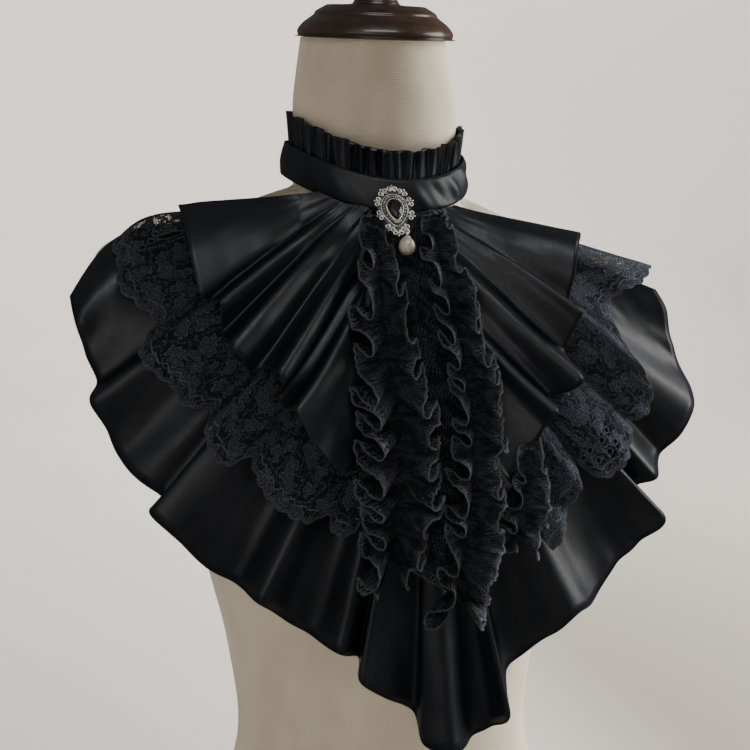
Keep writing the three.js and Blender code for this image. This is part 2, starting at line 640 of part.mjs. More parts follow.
function backTab() {
  const rows = [4, 16].map((height) => {
    const row = [];
    for (let c = 0; c <= 6; c++) {
      row.push(collarPoint(Math.PI + lerp(-0.24, 0.24, c / 6), height, 1.2 * Math.sin(Math.PI * (height / BAND_HEIGHT)) + SEAM_GAP + 1.1));
    }
    return row;
  });
  return clothWall(rows, 1.4);
}

// Flounces, lace tiers and ruffles
function flouncePoint({ folds, seamLift, rise, edge }, u, v) {
  const fold = throughRows(folds, u, ["seam", "x", "z", "lift"]);
  const seam = seamPlace(fold.seam);
  const bow = edge ? (1 - smoothStep(0, edge.folds, u)) * Math.sin(Math.PI * v ** edge.late) : 0;
  const z = lerp(seam.z, fold.z, v) + (edge ? edge.up * bow : 0);
  const lift = lerp(seamLift, fold.lift, v ** rise) + (edge ? edge.lift * bow : 0);
  return onChest(lerp(seam.x, fold.x, v), z, lift);
}

function flounce(piece) {
  const columns = (piece.folds.length - 1) * piece.across;
  const grid = [];
  for (let r = 0; r <= piece.down; r++) {
    const v = (r / piece.down) ** ROWS_CLOSE_UP;
    const row = [];
    for (let c = 0; c <= columns; c++) row.push(flouncePoint(piece, c / piece.across, v));
    grid.push(row);
  }
  const wall = clothWall(grid, piece.wall);
  return piece.cutwork ? pierced(wall, piece) : wall;
}

function pierced(wall, piece) {
  let solid = solidFrom(wall);
  for (const cut of piece.cutwork) {
    const middle = flouncePoint(piece, cut.fold, cut.down);
    const across = flouncePoint(piece, cut.fold + 0.1, cut.down).sub(middle).normalize();
    const down = flouncePoint(piece, cut.fold, cut.down + 0.01).sub(middle);
    const outwards = down.clone().cross(across).normalize();
    const along = across.clone().cross(outwards);
    const punch = new THREE.CylinderGeometry(1, 1, 2 * CUT_REACH, 6);
    punch.scale(cut.across, 1, cut.deep);
    punch.applyMatrix4(new THREE.Matrix4().makeBasis(across, outwards, along).setPosition(middle));
    solid = solid.subtract(solidFrom(punch));
  }
  return fromSolid(solid);
}

function ruffle({ line, waves, overPanel }) {
  const steps = waves * RUFFLE_STEPS_PER_WAVE;
  const pitch = (line[0].z - line.at(-1).z) / waves;
  const columns = ["x", "z", "lift", "right", "left"];
  const grid = [];
  for (let r = -RUFFLE_STEPS_ACROSS; r <= RUFFLE_STEPS_ACROSS; r++) {
    const share = Math.abs(r) / RUFFLE_STEPS_ACROSS;
    const side = Math.sign(r);
    const row = [];
    for (let c = 0; c <= steps; c++) {
      const along = c / steps;
      const at = throughRows(line, along * (line.length - 1), columns);
      const width = side < 0 ? at.right : at.left;
      const phase = 2 * Math.PI * waves * along + (side < 0 ? 0 : Math.PI / 2);
      const open = share ** 1.2;
      const stand = radians(lerp(RUFFLE_LOW_DEG, RUFFLE_HIGH_DEG, 0.5 + 0.5 * Math.cos(phase)));
      const turn = radians(lerp(12, RUFFLE_END_TURN_DEG, smoothStep(0.75, 1, along)));
      const full = open * pitch * Math.min(1, width / RUFFLE_FULL_WIDTH);
      const slip = full * (RUFFLE_DROOP_SHARE * Math.cos(phase) + RUFFLE_CURL_SHARE * Math.sin(2 * phase));
      const out = width * share * Math.cos(stand);
      row.push(
        onChest(
          at.x + side * out * Math.cos(turn),
          at.z - out * Math.sin(turn) - slip,
          at.lift + (overPanel ? RUFFLE_OVER_PANEL : 0) + width * share * Math.sin(stand),
        ),
      );
    }
    grid.push(row);
  }
  return clothWall(grid, LACE_WALL);
}

function frontPanel() {
  const [right, left] = CASCADES;
  const columns = ["x", "z", "lift"];
  const grid = [];
  for (let r = 0; r <= PANEL.down; r++) {
    const along = r / PANEL.down;
    const a = throughRows(right.line, along * (right.line.length - 1), columns);
    const b = throughRows(left.line, along * (left.line.length - 1), columns);
    const tuck = PANEL.tuck * (1 - smoothStep(0, PANEL.tuckShare, along));
    const row = [];
    for (let c = 0; c <= PANEL.across; c++) {
      const share = c / PANEL.across;
      const s = lerp(-PANEL.beyond, 1 + PANEL.beyond, share);
      const hollow = smoothStep(0, PANEL_HOLLOW.from, along) * (1 - smoothStep(PANEL_HOLLOW.from, PANEL_HOLLOW.to, along));
      const gathers = PANEL.depth * Math.cos(2 * Math.PI * PANEL.gathers * along);
      const gather = (gathers + PANEL_HOLLOW.depth * hollow) * Math.sin(Math.PI * share);
      row.push(onChest(lerp(a.x, b.x, s), lerp(a.z, b.z, s) + tuck, lerp(a.lift, b.lift, s) - gather));
    }
    grid.push(row);
  }
  return clothWall(grid, LACE_WALL);
}

// The brooch
function solidFrom(geometry) {
  const plain = new THREE.BufferGeometry();
  const source = geometry.index ? geometry.toNonIndexed() : geometry;
  plain.setAttribute("position", source.getAttribute("position"));
  const merged = mergeVertices(plain, 1e-4);
  return new wasm.Manifold(
    new wasm.Mesh({
      numProp: 3,
      vertProperties: merged.attributes.position.array,
      triVerts: new Uint32Array(merged.index.array),
    }),
  );
}

function fromSolid(solid) {
  const mesh = solid.getMesh();
  const geometry = new THREE.BufferGeometry();
  geometry.setAttribute("position", new THREE.Float32BufferAttribute(mesh.vertProperties, 3));
  geometry.setIndex(Array.from(mesh.triVerts));
  geometry.computeVertexNormals();
  return geometry;
}

function joined(first, ...others) {
  return fromSolid(others.reduce((whole, part) => whole.add(solidFrom(part)), solidFrom(first)));
}

function dropOutline(halfWidth, top, bottom, count, ripple = () => 0) {
  const points = [];
  for (let k = 0; k < count; k++) {
    const angle = (2 * Math.PI * k) / count;
    const up = Math.cos(angle);
    const narrow = up < 0 ? 1 - 0.42 * up * up : 1;
    const swell = 1 + ripple(angle);
    points.push(new THREE.Vector2(halfWidth * Math.sin(angle) * narrow * swell, (up > 0 ? top : bottom) * up * swell));
  }
  return points;
}

function broochSetting() {
  const ripple = (angle) => 0.09 * Math.cos(BROOCH_LOBES * angle);
  const outline = dropOutline(BROOCH.halfWidth, BROOCH.top, BROOCH.bottom, BROOCH_LOBES * 6, ripple);
  const plate = new THREE.ExtrudeGeometry(new THREE.Shape(outline), { depth: BROOCH.thick, bevelEnabled: false });
  const ring = new THREE.TorusGeometry(RING.radius, RING.wire, 6, 14);
  ring.translate(RING.x, RING.y - RING.radius, BROOCH.thick / 2);
  const stem = new THREE.CylinderGeometry(PIN.stem, PIN.stem, 2 * PIN.halfLength, 8);
  stem.rotateZ(Math.PI / 2);
  stem.translate(0, PIN.up, -PIN.behind);
  const posts = [-1, 1].map((side) => {
    const post = new THREE.CylinderGeometry(PIN.post, PIN.post, PIN.behind + PIN.foot, 8);
    post.rotateX(Math.PI / 2);
    post.translate(side * (PIN.halfLength - PIN.post - 0.2), PIN.up, (PIN.foot - PIN.behind) / 2);
    return post;
  });
  return joined(plate, ring, stem, ...posts);
}

function broochStone() {
  const at = (share, height) =>
    dropOutline(STONE.halfWidth * share, STONE.top * share, STONE.bottom * share, 14).map(
      (p) => new THREE.Vector3(p.x, p.y, height),
    );
  return loft([at(1, 0), at(1, STONE.height * 0.35), at(STONE.tableShare, STONE.height)]);
}

function pearlDrop() {
  const profile = [];
  const steps = 12;
  for (let k = 0; k <= steps; k++) {
    const angle = (Math.PI * k) / steps;
    const drop = 1 - 0.16 * (1 - Math.cos(angle)) * 0.5;
    profile.push(new THREE.Vector2(k % steps ? PEARL.radius * Math.sin(angle) * drop : 0, (-PEARL.length / 2) * Math.cos(angle)));
  }
  const pearl = new THREE.LatheGeometry(profile, 14);
  pearl.rotateX(Math.PI / 2);
  const eye = new THREE.TorusGeometry(EYE.radius, EYE.wire, 6, 14);
  eye.rotateY(Math.PI / 2);
  const above = RING.wire + EYE.wire + EYE.play;
  eye.translate(0, 0, above - EYE.radius);
  pearl.translate(0, 0, above - 2 * EYE.radius - PEARL.length / 2 + EYE.wire / 2);
  return joined(pearl, eye);
}

const jabot = new THREE.Group();

function add(name, geometry, slot, parent = jabot) {
  const mesh = new THREE.Mesh(geometry, new THREE.MeshStandardMaterial(SLOTS[slot]));
  mesh.name = name;
  parent.add(mesh);
  return mesh;
}

add("form_torso", formTorso(), "linen");
const cap = add("form_neck_cap", neckCap(), "wood");
cap.rotation.x = Math.PI / 2 + radians(NECK_TOP_TILT_DEG);
cap.position.set(NECK.at(-1).middle, -7.5, NECK_TOP_Z - 7.5 * Math.tan(radians(NECK_TOP_TILT_DEG)) + 0.3);

for (const piece of FLOUNCES) add(piece.name, flounce(piece), piece.slot);
add("front_panel", frontPanel(), "lace");
for (const piece of CASCADES) add(piece.name, ruffle(piece), "lace");
add("collar_band", collarBand(), "satin");
add("collar_frill", collarFrill(), "satin");
add("collar_tab", backTab(), "satin");

const brooch = new THREE.Group();
brooch.position.set(BROOCH.x, BROOCH.y, BROOCH.z);
brooch.rotation.x = Math.PI / 2 - radians(BROOCH.tilt);
jabot.add(brooch);
add("brooch_setting", broochSetting(), "silver", brooch);
const stone = add("brooch_stone", broochStone(), "stone", brooch);
stone.position.z = BROOCH.thick + 0.3;

const pearl = add("brooch_pearl", pearlDrop(), "pearl");
brooch.updateMatrixWorld(true);
pearl.position.copy(brooch.localToWorld(new THREE.Vector3(RING.x, RING.y - 2 * RING.radius, BROOCH.thick / 2)));

export default jabot;
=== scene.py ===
"""A black satin and lace jabot with a frilled stand collar and a drop brooch, on a limbless dress form."""

import json
import math

import bpy
import numpy as np
from mathutils import Matrix, Vector
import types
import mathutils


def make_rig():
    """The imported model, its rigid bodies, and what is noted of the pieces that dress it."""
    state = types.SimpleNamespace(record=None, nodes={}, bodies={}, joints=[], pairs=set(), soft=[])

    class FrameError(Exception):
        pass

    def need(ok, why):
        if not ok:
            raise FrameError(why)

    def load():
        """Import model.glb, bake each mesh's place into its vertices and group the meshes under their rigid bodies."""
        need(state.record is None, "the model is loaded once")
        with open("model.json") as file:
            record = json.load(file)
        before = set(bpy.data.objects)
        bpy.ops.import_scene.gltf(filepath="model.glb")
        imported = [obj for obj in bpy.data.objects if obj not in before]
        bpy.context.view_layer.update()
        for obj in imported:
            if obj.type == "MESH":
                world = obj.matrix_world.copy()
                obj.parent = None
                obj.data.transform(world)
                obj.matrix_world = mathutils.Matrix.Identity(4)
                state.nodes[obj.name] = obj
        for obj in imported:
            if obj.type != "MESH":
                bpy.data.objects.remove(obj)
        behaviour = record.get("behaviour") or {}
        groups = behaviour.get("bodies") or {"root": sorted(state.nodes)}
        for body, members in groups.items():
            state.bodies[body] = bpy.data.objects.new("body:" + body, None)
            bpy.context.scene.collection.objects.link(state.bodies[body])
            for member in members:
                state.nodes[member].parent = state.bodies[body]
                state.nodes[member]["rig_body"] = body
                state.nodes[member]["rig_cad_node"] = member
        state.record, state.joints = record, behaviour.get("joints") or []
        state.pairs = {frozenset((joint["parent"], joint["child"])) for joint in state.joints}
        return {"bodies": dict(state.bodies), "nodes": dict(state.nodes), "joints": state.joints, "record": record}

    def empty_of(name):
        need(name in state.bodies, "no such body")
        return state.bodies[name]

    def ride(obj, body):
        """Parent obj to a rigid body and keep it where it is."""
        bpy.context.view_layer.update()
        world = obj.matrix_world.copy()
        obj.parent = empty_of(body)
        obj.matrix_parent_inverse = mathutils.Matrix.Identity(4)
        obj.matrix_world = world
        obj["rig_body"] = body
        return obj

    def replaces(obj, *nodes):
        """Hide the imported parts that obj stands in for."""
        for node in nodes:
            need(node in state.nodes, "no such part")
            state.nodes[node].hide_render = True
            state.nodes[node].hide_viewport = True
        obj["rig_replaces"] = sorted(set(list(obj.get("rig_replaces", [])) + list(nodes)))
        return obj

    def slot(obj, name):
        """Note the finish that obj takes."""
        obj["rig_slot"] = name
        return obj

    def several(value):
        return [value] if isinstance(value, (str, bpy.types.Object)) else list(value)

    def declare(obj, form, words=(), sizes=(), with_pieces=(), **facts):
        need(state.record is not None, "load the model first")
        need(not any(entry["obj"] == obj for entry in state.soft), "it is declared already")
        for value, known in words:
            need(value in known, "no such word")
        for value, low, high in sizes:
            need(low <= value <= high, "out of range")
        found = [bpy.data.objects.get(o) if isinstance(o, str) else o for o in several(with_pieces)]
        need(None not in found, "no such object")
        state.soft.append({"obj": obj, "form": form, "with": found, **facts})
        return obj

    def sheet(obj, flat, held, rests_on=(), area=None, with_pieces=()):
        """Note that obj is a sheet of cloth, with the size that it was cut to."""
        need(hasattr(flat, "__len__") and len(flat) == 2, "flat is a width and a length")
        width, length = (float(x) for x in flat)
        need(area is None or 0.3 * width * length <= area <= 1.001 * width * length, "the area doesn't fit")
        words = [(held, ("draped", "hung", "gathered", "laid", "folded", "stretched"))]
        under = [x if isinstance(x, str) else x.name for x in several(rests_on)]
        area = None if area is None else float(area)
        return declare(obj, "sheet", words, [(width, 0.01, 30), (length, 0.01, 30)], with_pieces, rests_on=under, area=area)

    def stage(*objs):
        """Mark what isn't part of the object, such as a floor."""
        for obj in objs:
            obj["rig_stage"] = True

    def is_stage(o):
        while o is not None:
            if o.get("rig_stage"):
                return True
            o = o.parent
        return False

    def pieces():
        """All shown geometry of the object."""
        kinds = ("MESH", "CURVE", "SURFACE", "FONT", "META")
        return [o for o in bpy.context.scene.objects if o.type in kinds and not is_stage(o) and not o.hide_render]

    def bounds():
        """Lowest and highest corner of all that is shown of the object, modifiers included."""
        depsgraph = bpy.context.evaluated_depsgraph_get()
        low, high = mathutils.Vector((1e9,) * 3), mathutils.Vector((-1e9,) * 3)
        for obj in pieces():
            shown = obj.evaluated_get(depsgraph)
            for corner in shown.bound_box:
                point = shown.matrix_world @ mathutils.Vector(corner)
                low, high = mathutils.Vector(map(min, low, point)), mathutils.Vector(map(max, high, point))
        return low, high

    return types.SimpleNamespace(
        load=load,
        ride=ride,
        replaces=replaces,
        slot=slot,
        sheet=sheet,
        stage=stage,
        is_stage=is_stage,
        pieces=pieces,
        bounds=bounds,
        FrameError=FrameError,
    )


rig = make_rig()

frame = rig.load()
cad_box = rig.bounds()

MM = 0.001
rng = np.random.default_rng(7)


# Tables with named columns, in millimetres, as the solids have them
def table(columns, rows):
    return dict(zip(columns.split(), np.array(rows, float).T))


SECTIONS = "z half front back middle full"
TORSO = table(SECTIONS, [
    (0, 150, 108, 108, 0, 2.2),
    (50, 149, 107, 110, 1, 2.2),
    (120, 131, 97, 99, 3, 2.1),
    (200, 103, 86, 78, 4.5, 2.1),
    (270, 108, 94, 78, 4, 2.1),
    (330, 121, 107, 83, 3, 2.1),
    (372, 130, 115, 88, 2.5, 2.1),
    (430, 145, 105, 94, 2, 2.1),
    (480, 168, 88, 92, 1, 2.1),
    (509, 186, 70, 80, 1, 2.1),
    (526, 189, 57, 67, 1, 2.1),
    (539, 178, 45, 55, 0, 2.0),
    (551, 148, 34, 45, 0, 1.9),
    (566, 98, 22, 32, 0, 1.8),
    (580, 60, 10, 18, 0, 1.8),
    (589, 30, 1, 1, 0, 1.8),
])
NECK_TOP_Z = 681
NECK_TOP_TILT = math.radians(7)
NECK = table(SECTIONS, [
    (480, 72, 66, 60, 0, 2),
    (532, 68, 61, 58, 0, 2),
    (560, 61, 57.5, 55, 0, 2),
    (577, 57, 55.5, 53.5, 0, 2),
    (592, 54.2, 54, 52.5, 0, 2),
    (612, 54.2, 54.5, 51, -0.5, 2),
    (638, 55, 56, 49, -0.5, 2),
    (660, 51.5, 56, 46, -1.5, 2),
    (NECK_TOP_Z, 48, 56, 41, -2, 2),
])
CAP_PROFILE = table("radius height", [
    (0, 0), (49.5, 0), (51, 1.2), (51.6, 3.6), (50.4, 6.2), (47.5, 9.5), (42.5, 13.2), (40.8, 14.6),
    (39.5, 16.8), (33.6, 20.2), (31.2, 21), (17.5, 21.6), (15, 23.2), (13.6, 26), (14.4, 29),
    (18.4, 33.5), (20.4, 39.5), (19.2, 45.5), (14.6, 50.5), (7.6, 53.2), (0, 54),
])

DRAPE = table("z middle side", [
    (180, 112, 66),
    (240, 116, 66),
    (300, 120, 66),
    (370, 121, 62),
    (430, 111, 55),
    (480, 96, 46),
    (532, 74, 34),
    (560, 66, 26),
    (590, 60, 20),
])
SEAM = table("at x z", [
    (-1, -54, 578.5),
    (-0.82, -35, 569.8),
    (-0.66, -19, 565.4),
    (-0.5, -11, 545),
    (-0.25, -7, 505),
    (0, 0, 465),
    (0.25, 7, 505),
    (0.5, 10, 545),
    (0.66, 16, 564),
    (0.82, 27, 565.7),
    (1, 41, 569),
])

FOLD = "seam x z lift"
BASE_FOLDS = table(FOLD, [
    (-1.0, -201, 514, 8), (-0.96, -194, 500, 16), (-0.92, -193, 483, 8), (-0.88, -189, 466, 4),
    (-0.84, -186, 457, 20), (-0.8, -182, 440, 12), (-0.76, -178, 421, 4), (-0.72, -165, 407, 9),
    (-0.68, -154, 397, 4), (-0.64, -155, 392, 22), (-0.6, -144, 378, 20), (-0.55, -129, 357, 8),
    (-0.5, -114, 345, 4), (-0.45, -98, 340, 24), (-0.4, -85, 324, 8), (-0.35, -69, 312, 4),
    (-0.3, -55, 308, 22), (-0.25, -42, 298, 6), (-0.2, -43, 290, 24), (-0.15, -27, 275, 14),
    (-0.1, -8, 261, 5), (-0.06, -5, 245, 21), (0.0, 11, 241, 29), (0.05, 30, 240, 8),
    (0.1, 43, 245, 6), (0.14, 47, 256, 23), (0.19, 52, 280, 7), (0.24, 70, 291, 5),
    (0.3, 87, 315, 25), (0.35, 115, 319, 10), (0.4, 134, 336, 5), (0.45, 152, 351, 10),
    (0.5, 155, 369, 27), (0.55, 153, 386, 5), (0.6, 158, 394, 19), (0.65, 177, 405, 5),
    (0.7, 182, 420, 19), (0.76, 190, 438, 22), (0.82, 200, 456, 8), (0.88, 192, 479, 6),
    (0.94, 184, 499, 11), (1.0, 174, 511, 14),
])
LACE_RIGHT_FOLDS = table(FOLD, [
    (-0.98, -172, 544, 11), (-0.93, -167, 531, 17), (-0.88, -165, 518, 22), (-0.83, -157, 510, 18),
    (-0.78, -149, 502, 14), (-0.73, -155, 487, 22), (-0.69, -153, 477, 18), (-0.65, -141, 465, 14),
    (-0.61, -133, 457, 23), (-0.57, -121, 452, 15), (-0.53, -122, 442, 23), (-0.49, -121, 428, 18),
    (-0.45, -114, 420, 14), (-0.41, -101, 426, 15), (-0.37, -97, 420, 25), (-0.33, -90, 403, 27),
    (-0.28, -72, 388, 23), (-0.24, -59, 391, 14), (-0.2, -57, 382, 22), (-0.16, -46, 380, 18),
    (-0.12, -36, 394, 13), (-0.07, -22, 386, 12),
])
LACE_LEFT_FOLDS = table(FOLD, [
    (0.05, 16, 371, 13), (0.1, 32, 380, 12), (0.15, 50, 391, 13), (0.19, 60, 384, 14),
    (0.23, 73, 362, 22), (0.28, 80, 370, 22), (0.33, 88, 383, 14), (0.38, 92, 397, 24),
    (0.43, 97, 411, 15), (0.47, 112, 401, 20), (0.52, 126, 410, 25), (0.56, 135, 427, 21),
    (0.6, 137, 434, 14), (0.65, 147, 436, 20), (0.7, 150, 449, 25), (0.76, 140, 473, 25),
    (0.81, 132, 489, 19), (0.86, 131, 501, 15), (0.9, 138, 511, 14), (0.94, 158, 517, 20),
    (0.98, 174, 525, 15),
])
SATIN_RIGHT_FOLDS = table(FOLD, [
    (-0.96, -129, 558, 26), (-0.92, -124, 534, 34), (-0.88, -120, 514, 32), (-0.84, -116, 511, 25),
    (-0.8, -108, 507, 42), (-0.76, -111, 495, 25), (-0.72, -104, 490, 43), (-0.69, -99, 483, 40),
    (-0.66, -97, 475, 26), (-0.63, -89, 478, 26), (-0.6, -81, 477, 43), (-0.57, -79, 469, 39),
    (-0.54, -83, 461, 27), (-0.51, -80, 454, 29), (-0.48, -73, 454, 41), (-0.44, -66, 437, 38),
    (-0.4, -50, 418, 31), (-0.36, -41, 430, 22), (-0.32, -37, 429, 25), (-0.28, -36, 411, 22),
    (-0.23, -24, 409, 18),
])
SATIN_LEFT_FOLDS = table(FOLD, [
    (0.03, 5, 402, 17), (0.08, 20, 396, 18), (0.13, 34, 393, 21), (0.18, 43, 402, 28),
    (0.23, 45, 410, 23), (0.28, 56, 420, 24), (0.33, 65, 436, 31), (0.38, 68, 448, 42),
    (0.43, 74, 454, 24), (0.48, 81, 456, 28), (0.54, 86, 466, 42), (0.6, 88, 480, 24),
    (0.66, 91, 495, 36), (0.71, 92, 501, 40), (0.76, 94, 506, 26), (0.82, 95, 519, 35),
    (0.89, 99, 532, 37), (0.95, 111, 541, 26),
])
ROWS_CLOSE_UP = 1.45
STANDING_EDGE = dict(lift=6.5, up=5.5, folds=1.4, late=2.8)
DRAWN_UP_EDGE = dict(lift=0, up=22, folds=3, late=2.5)

# Cutwork through the lace: along the folds, down from the seam, and half its size across and down
CUT_PLACES = "fold down across deep"
SHOULDER_CUTWORK = table(CUT_PLACES, [
    (0.86, 0.882, 2.1, 2.1),
    (0.75, 0.842, 2.1, 2.1),
    (0.66, 0.81, 2.1, 2.1),
    (0.57, 0.775, 2.1, 2.1),
    (0.5, 0.738, 2.1, 2.1),
    (0.46, 0.694, 2.1, 2.1),
    (0.82, 0.75, 2.5, 8.5),
])
SCALLOP_CUTWORK = table(CUT_PLACES, [
    (8.75, 0.928, 2.1, 2.1),
    (9.31, 0.89, 2.1, 2.1),
    (9.88, 0.885, 2.1, 2.1),
    (10.25, 0.89, 2.1, 2.1),
    (9.3, 0.94, 2.1, 2.1),
    (9.78, 0.935, 2.1, 2.1),
    (10.2, 0.94, 2.1, 2.1),
])

RUFFLE_LINE = "x z lift right left"
RUFFLE_RIGHT = table(RUFFLE_LINE, [
    (-18, 559, 9.1, 7, 5),
    (-20, 517, 14.1, 20, 15),
    (-20, 481, 18.1, 24, 18),
    (-18, 447, 21.1, 22, 19),
    (-19, 414, 23.1, 24, 19),
    (-22, 386, 21.1, 25, 19),
    (-27, 364, 18.1, 26, 22),
])
RUFFLE_LEFT = table(RUFFLE_LINE, [
    (17, 559, 8.1, 6, 10),
    (20, 520, 13.5, 13, 14),
    (23, 489, 17.5, 16, 15),
    (25, 454, 20.5, 17, 16),
    (23, 415, 22.5, 17, 17),
    (17, 375, 20.5, 18, 18),
    (9, 340, 17.5, 26, 26),
])
RUFFLE_SIDE = table(RUFFLE_LINE, [
    (53.3, 430, 29.9, 6, 8),
    (53.3, 408, 25.4, 9, 14),
    (52, 388, 19.3, 12, 16),
    (51, 372, 17.3, 15, 22),
])

COLLAR = dict(half_width=63, half_depth=64, offset_x=-1, tilt=10.9, dip=5.2, side_drop=3, middle_z=583.3,
              lean=0.1, taper=0.12)
BAND_HEIGHT = 20
BAND_WALL = 2
BACK_OPENING = math.radians(5)
FRILL_HEIGHT = 18.5
FRILL_TUCK = 3
FRILL_WAVES = 44

BROOCH = dict(x=-7.7, z=569.5, y=-74.6, tilt=math.radians(30), thick=2, half_width=12.6, top=14.5,
              bottom=18.6)
PIN = dict(up=7.5, half_length=7, behind=5.6, stem=0.6, post=0.9)
RING = dict(x=5.6, y=-14.7, radius=1.6, wire=0.45)
EYE = dict(radius=1.4, wire=0.4, play=0.15)
STONE = dict(half_width=5, top=5.4, bottom=9.2, height=3)
PEARL = dict(radius=5.9, length=12.4)
SCROLLS = dict(pairs=10, turns=1.15, radius=1.75, tightens=0.62, out=0.5, apart=2.0, wire=0.42,
               height=1.7)
SCROLL_EYE = dict(radius=0.55, height=1.8)
SCROLL_TIP = dict(radius=0.7, out=2.6)
BEADS = dict(count=30, radius=0.5, height=1.9)
BEZEL = dict(gap=0.35, foot_gap=0.45, wires=((1.9, 0.45), (2.9, 0.3)))
PLATE = dict(points=78, low=0.25, high=1.0, swell=0.05, middle=0.05)
PEARL_CUP = dict(radius=1.9, wire=0.35)


# Curves through the tables
def smooth_at(rows, key, at, *columns):
    at = np.asarray(at, float)
    keys = rows[key]
    last = len(keys) - 1
    i = np.clip(np.searchsorted(keys, at, side="left"), 1, last)
    before = np.maximum(i - 2, 0)
    after = np.minimum(i + 1, last)
    span = keys[i] - keys[i - 1]
    t = np.clip((at - keys[i - 1]) / span, 0, 1)
    found = []
    for name in columns:
        values = rows[name]
        a = values[i - 1]
        b = values[i]
        slope_a = (b - values[before]) / (keys[i] - keys[before])
        slope_b = (values[after] - a) / (keys[after] - keys[i - 1])
        found.append(
            (2 * t**3 - 3 * t**2 + 1) * a
            + (t**3 - 2 * t**2 + t) * span * slope_a
            + (3 * t**2 - 2 * t**3) * b
            + (t**3 - t**2) * span * slope_b
        )
    return found


def through_rows(rows, u, *columns):
    u = np.asarray(u, float)
    last = len(next(iter(rows.values()))) - 1
    i = np.minimum(np.floor(u).astype(int), last - 1)
    t = u - i
    found = []
    for name in columns:
        p, a, b, n = (rows[name][np.clip(i + k, 0, last)] for k in (-1, 0, 1, 2))
        found.append(a + 0.5 * t * (b - p + t * (2 * p - 5 * a + 4 * b - n + t * (3 * (a - b) + n - p))))
    return found


def mix(a, b, share):
    return a + (b - a) * share


def smooth_step(low, high, value):
    t = np.clip((value - low) / (high - low), 0, 1)
    return t * t * (3 - 2 * t)


def smooth_max(a, b, blend):
    return blend * np.logaddexp(a / blend, b / blend)


def full_turn(count):
    """So many angles, evenly round a circle."""
    return 2 * np.pi * np.arange(count) / count


# The form's surface and the chest as cloth sees it
OUTSIDE = -200.0
SHOULDER_BLEND = 5
SKIN_CLEARANCE = 0.4
SHOULDER_TILT = dict(slope=0.05, starts=(400, 500), ends=(595, 640))
DRAPE_HALF_WIDTH = 200
DRAPE_FALL = 1.7
DRAPE_BLEND = 2.5
SEAT = dict(inside=3.6, widest=0.8, furthest=0.97, leaves_below=45, below=2, side_from=50, side_to=90)
RIDGE = dict(x=62, z=590, slope=0.345, neck_slope=1.2, ease=16)
LIFT = dict(sideways=300, up=0.9, up_from=470, up_to=590)


def shoulder_drop(x, z):
    t = SHOULDER_TILT
    return t["slope"] * x * smooth_step(*t["starts"], z) * (1 - smooth_step(*t["ends"], z))


def section_depth(rows, side, x, z):
    half, depth, middle, full = smooth_at(rows, "z", z, "half", side, "middle", "full")
    share = np.abs(x - middle) / half
    inside = depth * (1 - np.minimum(share, 1) ** full) ** (1 / full)
    return np.where(share >= 1, OUTSIDE, inside)


def body_depth(side, x, z):
    z = np.minimum(z + shoulder_drop(x, z), NECK_TOP_Z)
    torso = np.where(z < TORSO["z"][-1], section_depth(TORSO, side, x, z), OUTSIDE)
    neck = np.where(z > NECK["z"][0], section_depth(NECK, side, x, z), OUTSIDE)
    return smooth_max(torso, neck, SHOULDER_BLEND)


def collar_point(angle, height, outwards):
    taper = height * COLLAR["taper"]
    x = COLLAR["offset_x"] + (COLLAR["half_width"] - taper + outwards) * np.sin(angle)
    y = -(COLLAR["half_depth"] - taper + outwards) * np.cos(angle) - height * COLLAR["lean"]
    sag = COLLAR["tilt"] * np.cos(angle) + COLLAR["dip"] * np.cos(2 * angle)
    sag = sag + COLLAR["side_drop"] * np.sin(angle)
    return np.stack(np.broadcast_arrays(x, y, COLLAR["middle_z"] - sag + height), axis=-1)


def drape_depth(x, z):
    middle, side = smooth_at(DRAPE, "z", z, "middle", "side")
    hanging = middle - (middle - side) * (np.abs(x) / DRAPE_HALF_WIDTH) ** DRAPE_FALL
    out = np.abs(x) - RIDGE["x"]
    ridge = RIDGE["z"] - out * np.where(out > 0, RIDGE["slope"], RIDGE["neck_slope"])
    below = ridge - z
    wrapped = np.where(below > 0, hanging * (1 - np.exp(-np.maximum(below, 0) / RIDGE["ease"])), below)
    furthest = SEAT["furthest"]
    share = np.clip((x - COLLAR["offset_x"]) / COLLAR["half_width"], -furthest, furthest)
    angle = SEAT["widest"] * np.tanh(np.arcsin(share) / SEAT["widest"])
    band_z = collar_point(angle, 0, 0)[..., 2]
    band_depth = (COLLAR["half_depth"] - SEAT["inside"]) * np.cos(angle)
    held = smooth_step(band_z - SEAT["leaves_below"], band_z - SEAT["below"], z)
    held = held * (1 - smooth_step(SEAT["side_from"], SEAT["side_to"], np.abs(x)))
    skin = body_depth("front", x, z) + SKIN_CLEARANCE
    return smooth_max(skin, mix(wrapped, band_depth, held), DRAPE_BLEND)


def on_chest(x, z, lift):
    x, z, lift = np.broadcast_arrays(x, z, lift)
    up = LIFT["up"] * smooth_step(LIFT["up_from"], LIFT["up_to"], z)
    outwards = np.stack([x / LIFT["sideways"], -np.ones_like(x), up], axis=-1)
    outwards = outwards / np.linalg.norm(outwards, axis=-1, keepdims=True)
    return np.stack([x, -drape_depth(x, z), z], axis=-1) + outwards * lift[..., None]


# Meshes
def new_object(name, points, faces, uvs=None, smooth=True):
    """points in millimetres; uvs has one pair, also in millimetres, for each point."""
    mesh = bpy.data.meshes.new(name)
    mesh.from_pydata((np.asarray(points) * MM).tolist(), [], faces)
    if uvs is not None:
        layer = mesh.uv_layers.new(name="cloth")
        corners = np.zeros(len(mesh.loops), int)
        mesh.loops.foreach_get("vertex_index", corners)
        layer.data.foreach_set("uv", (np.asarray(uvs)[corners] * MM).astype(np.float32).ravel())
    mesh.polygons.foreach_set("use_smooth", [smooth] * len(mesh.polygons))
    mesh.update()
    obj = bpy.data.objects.new(name, mesh)
    bpy.context.scene.collection.objects.link(obj)
    return obj


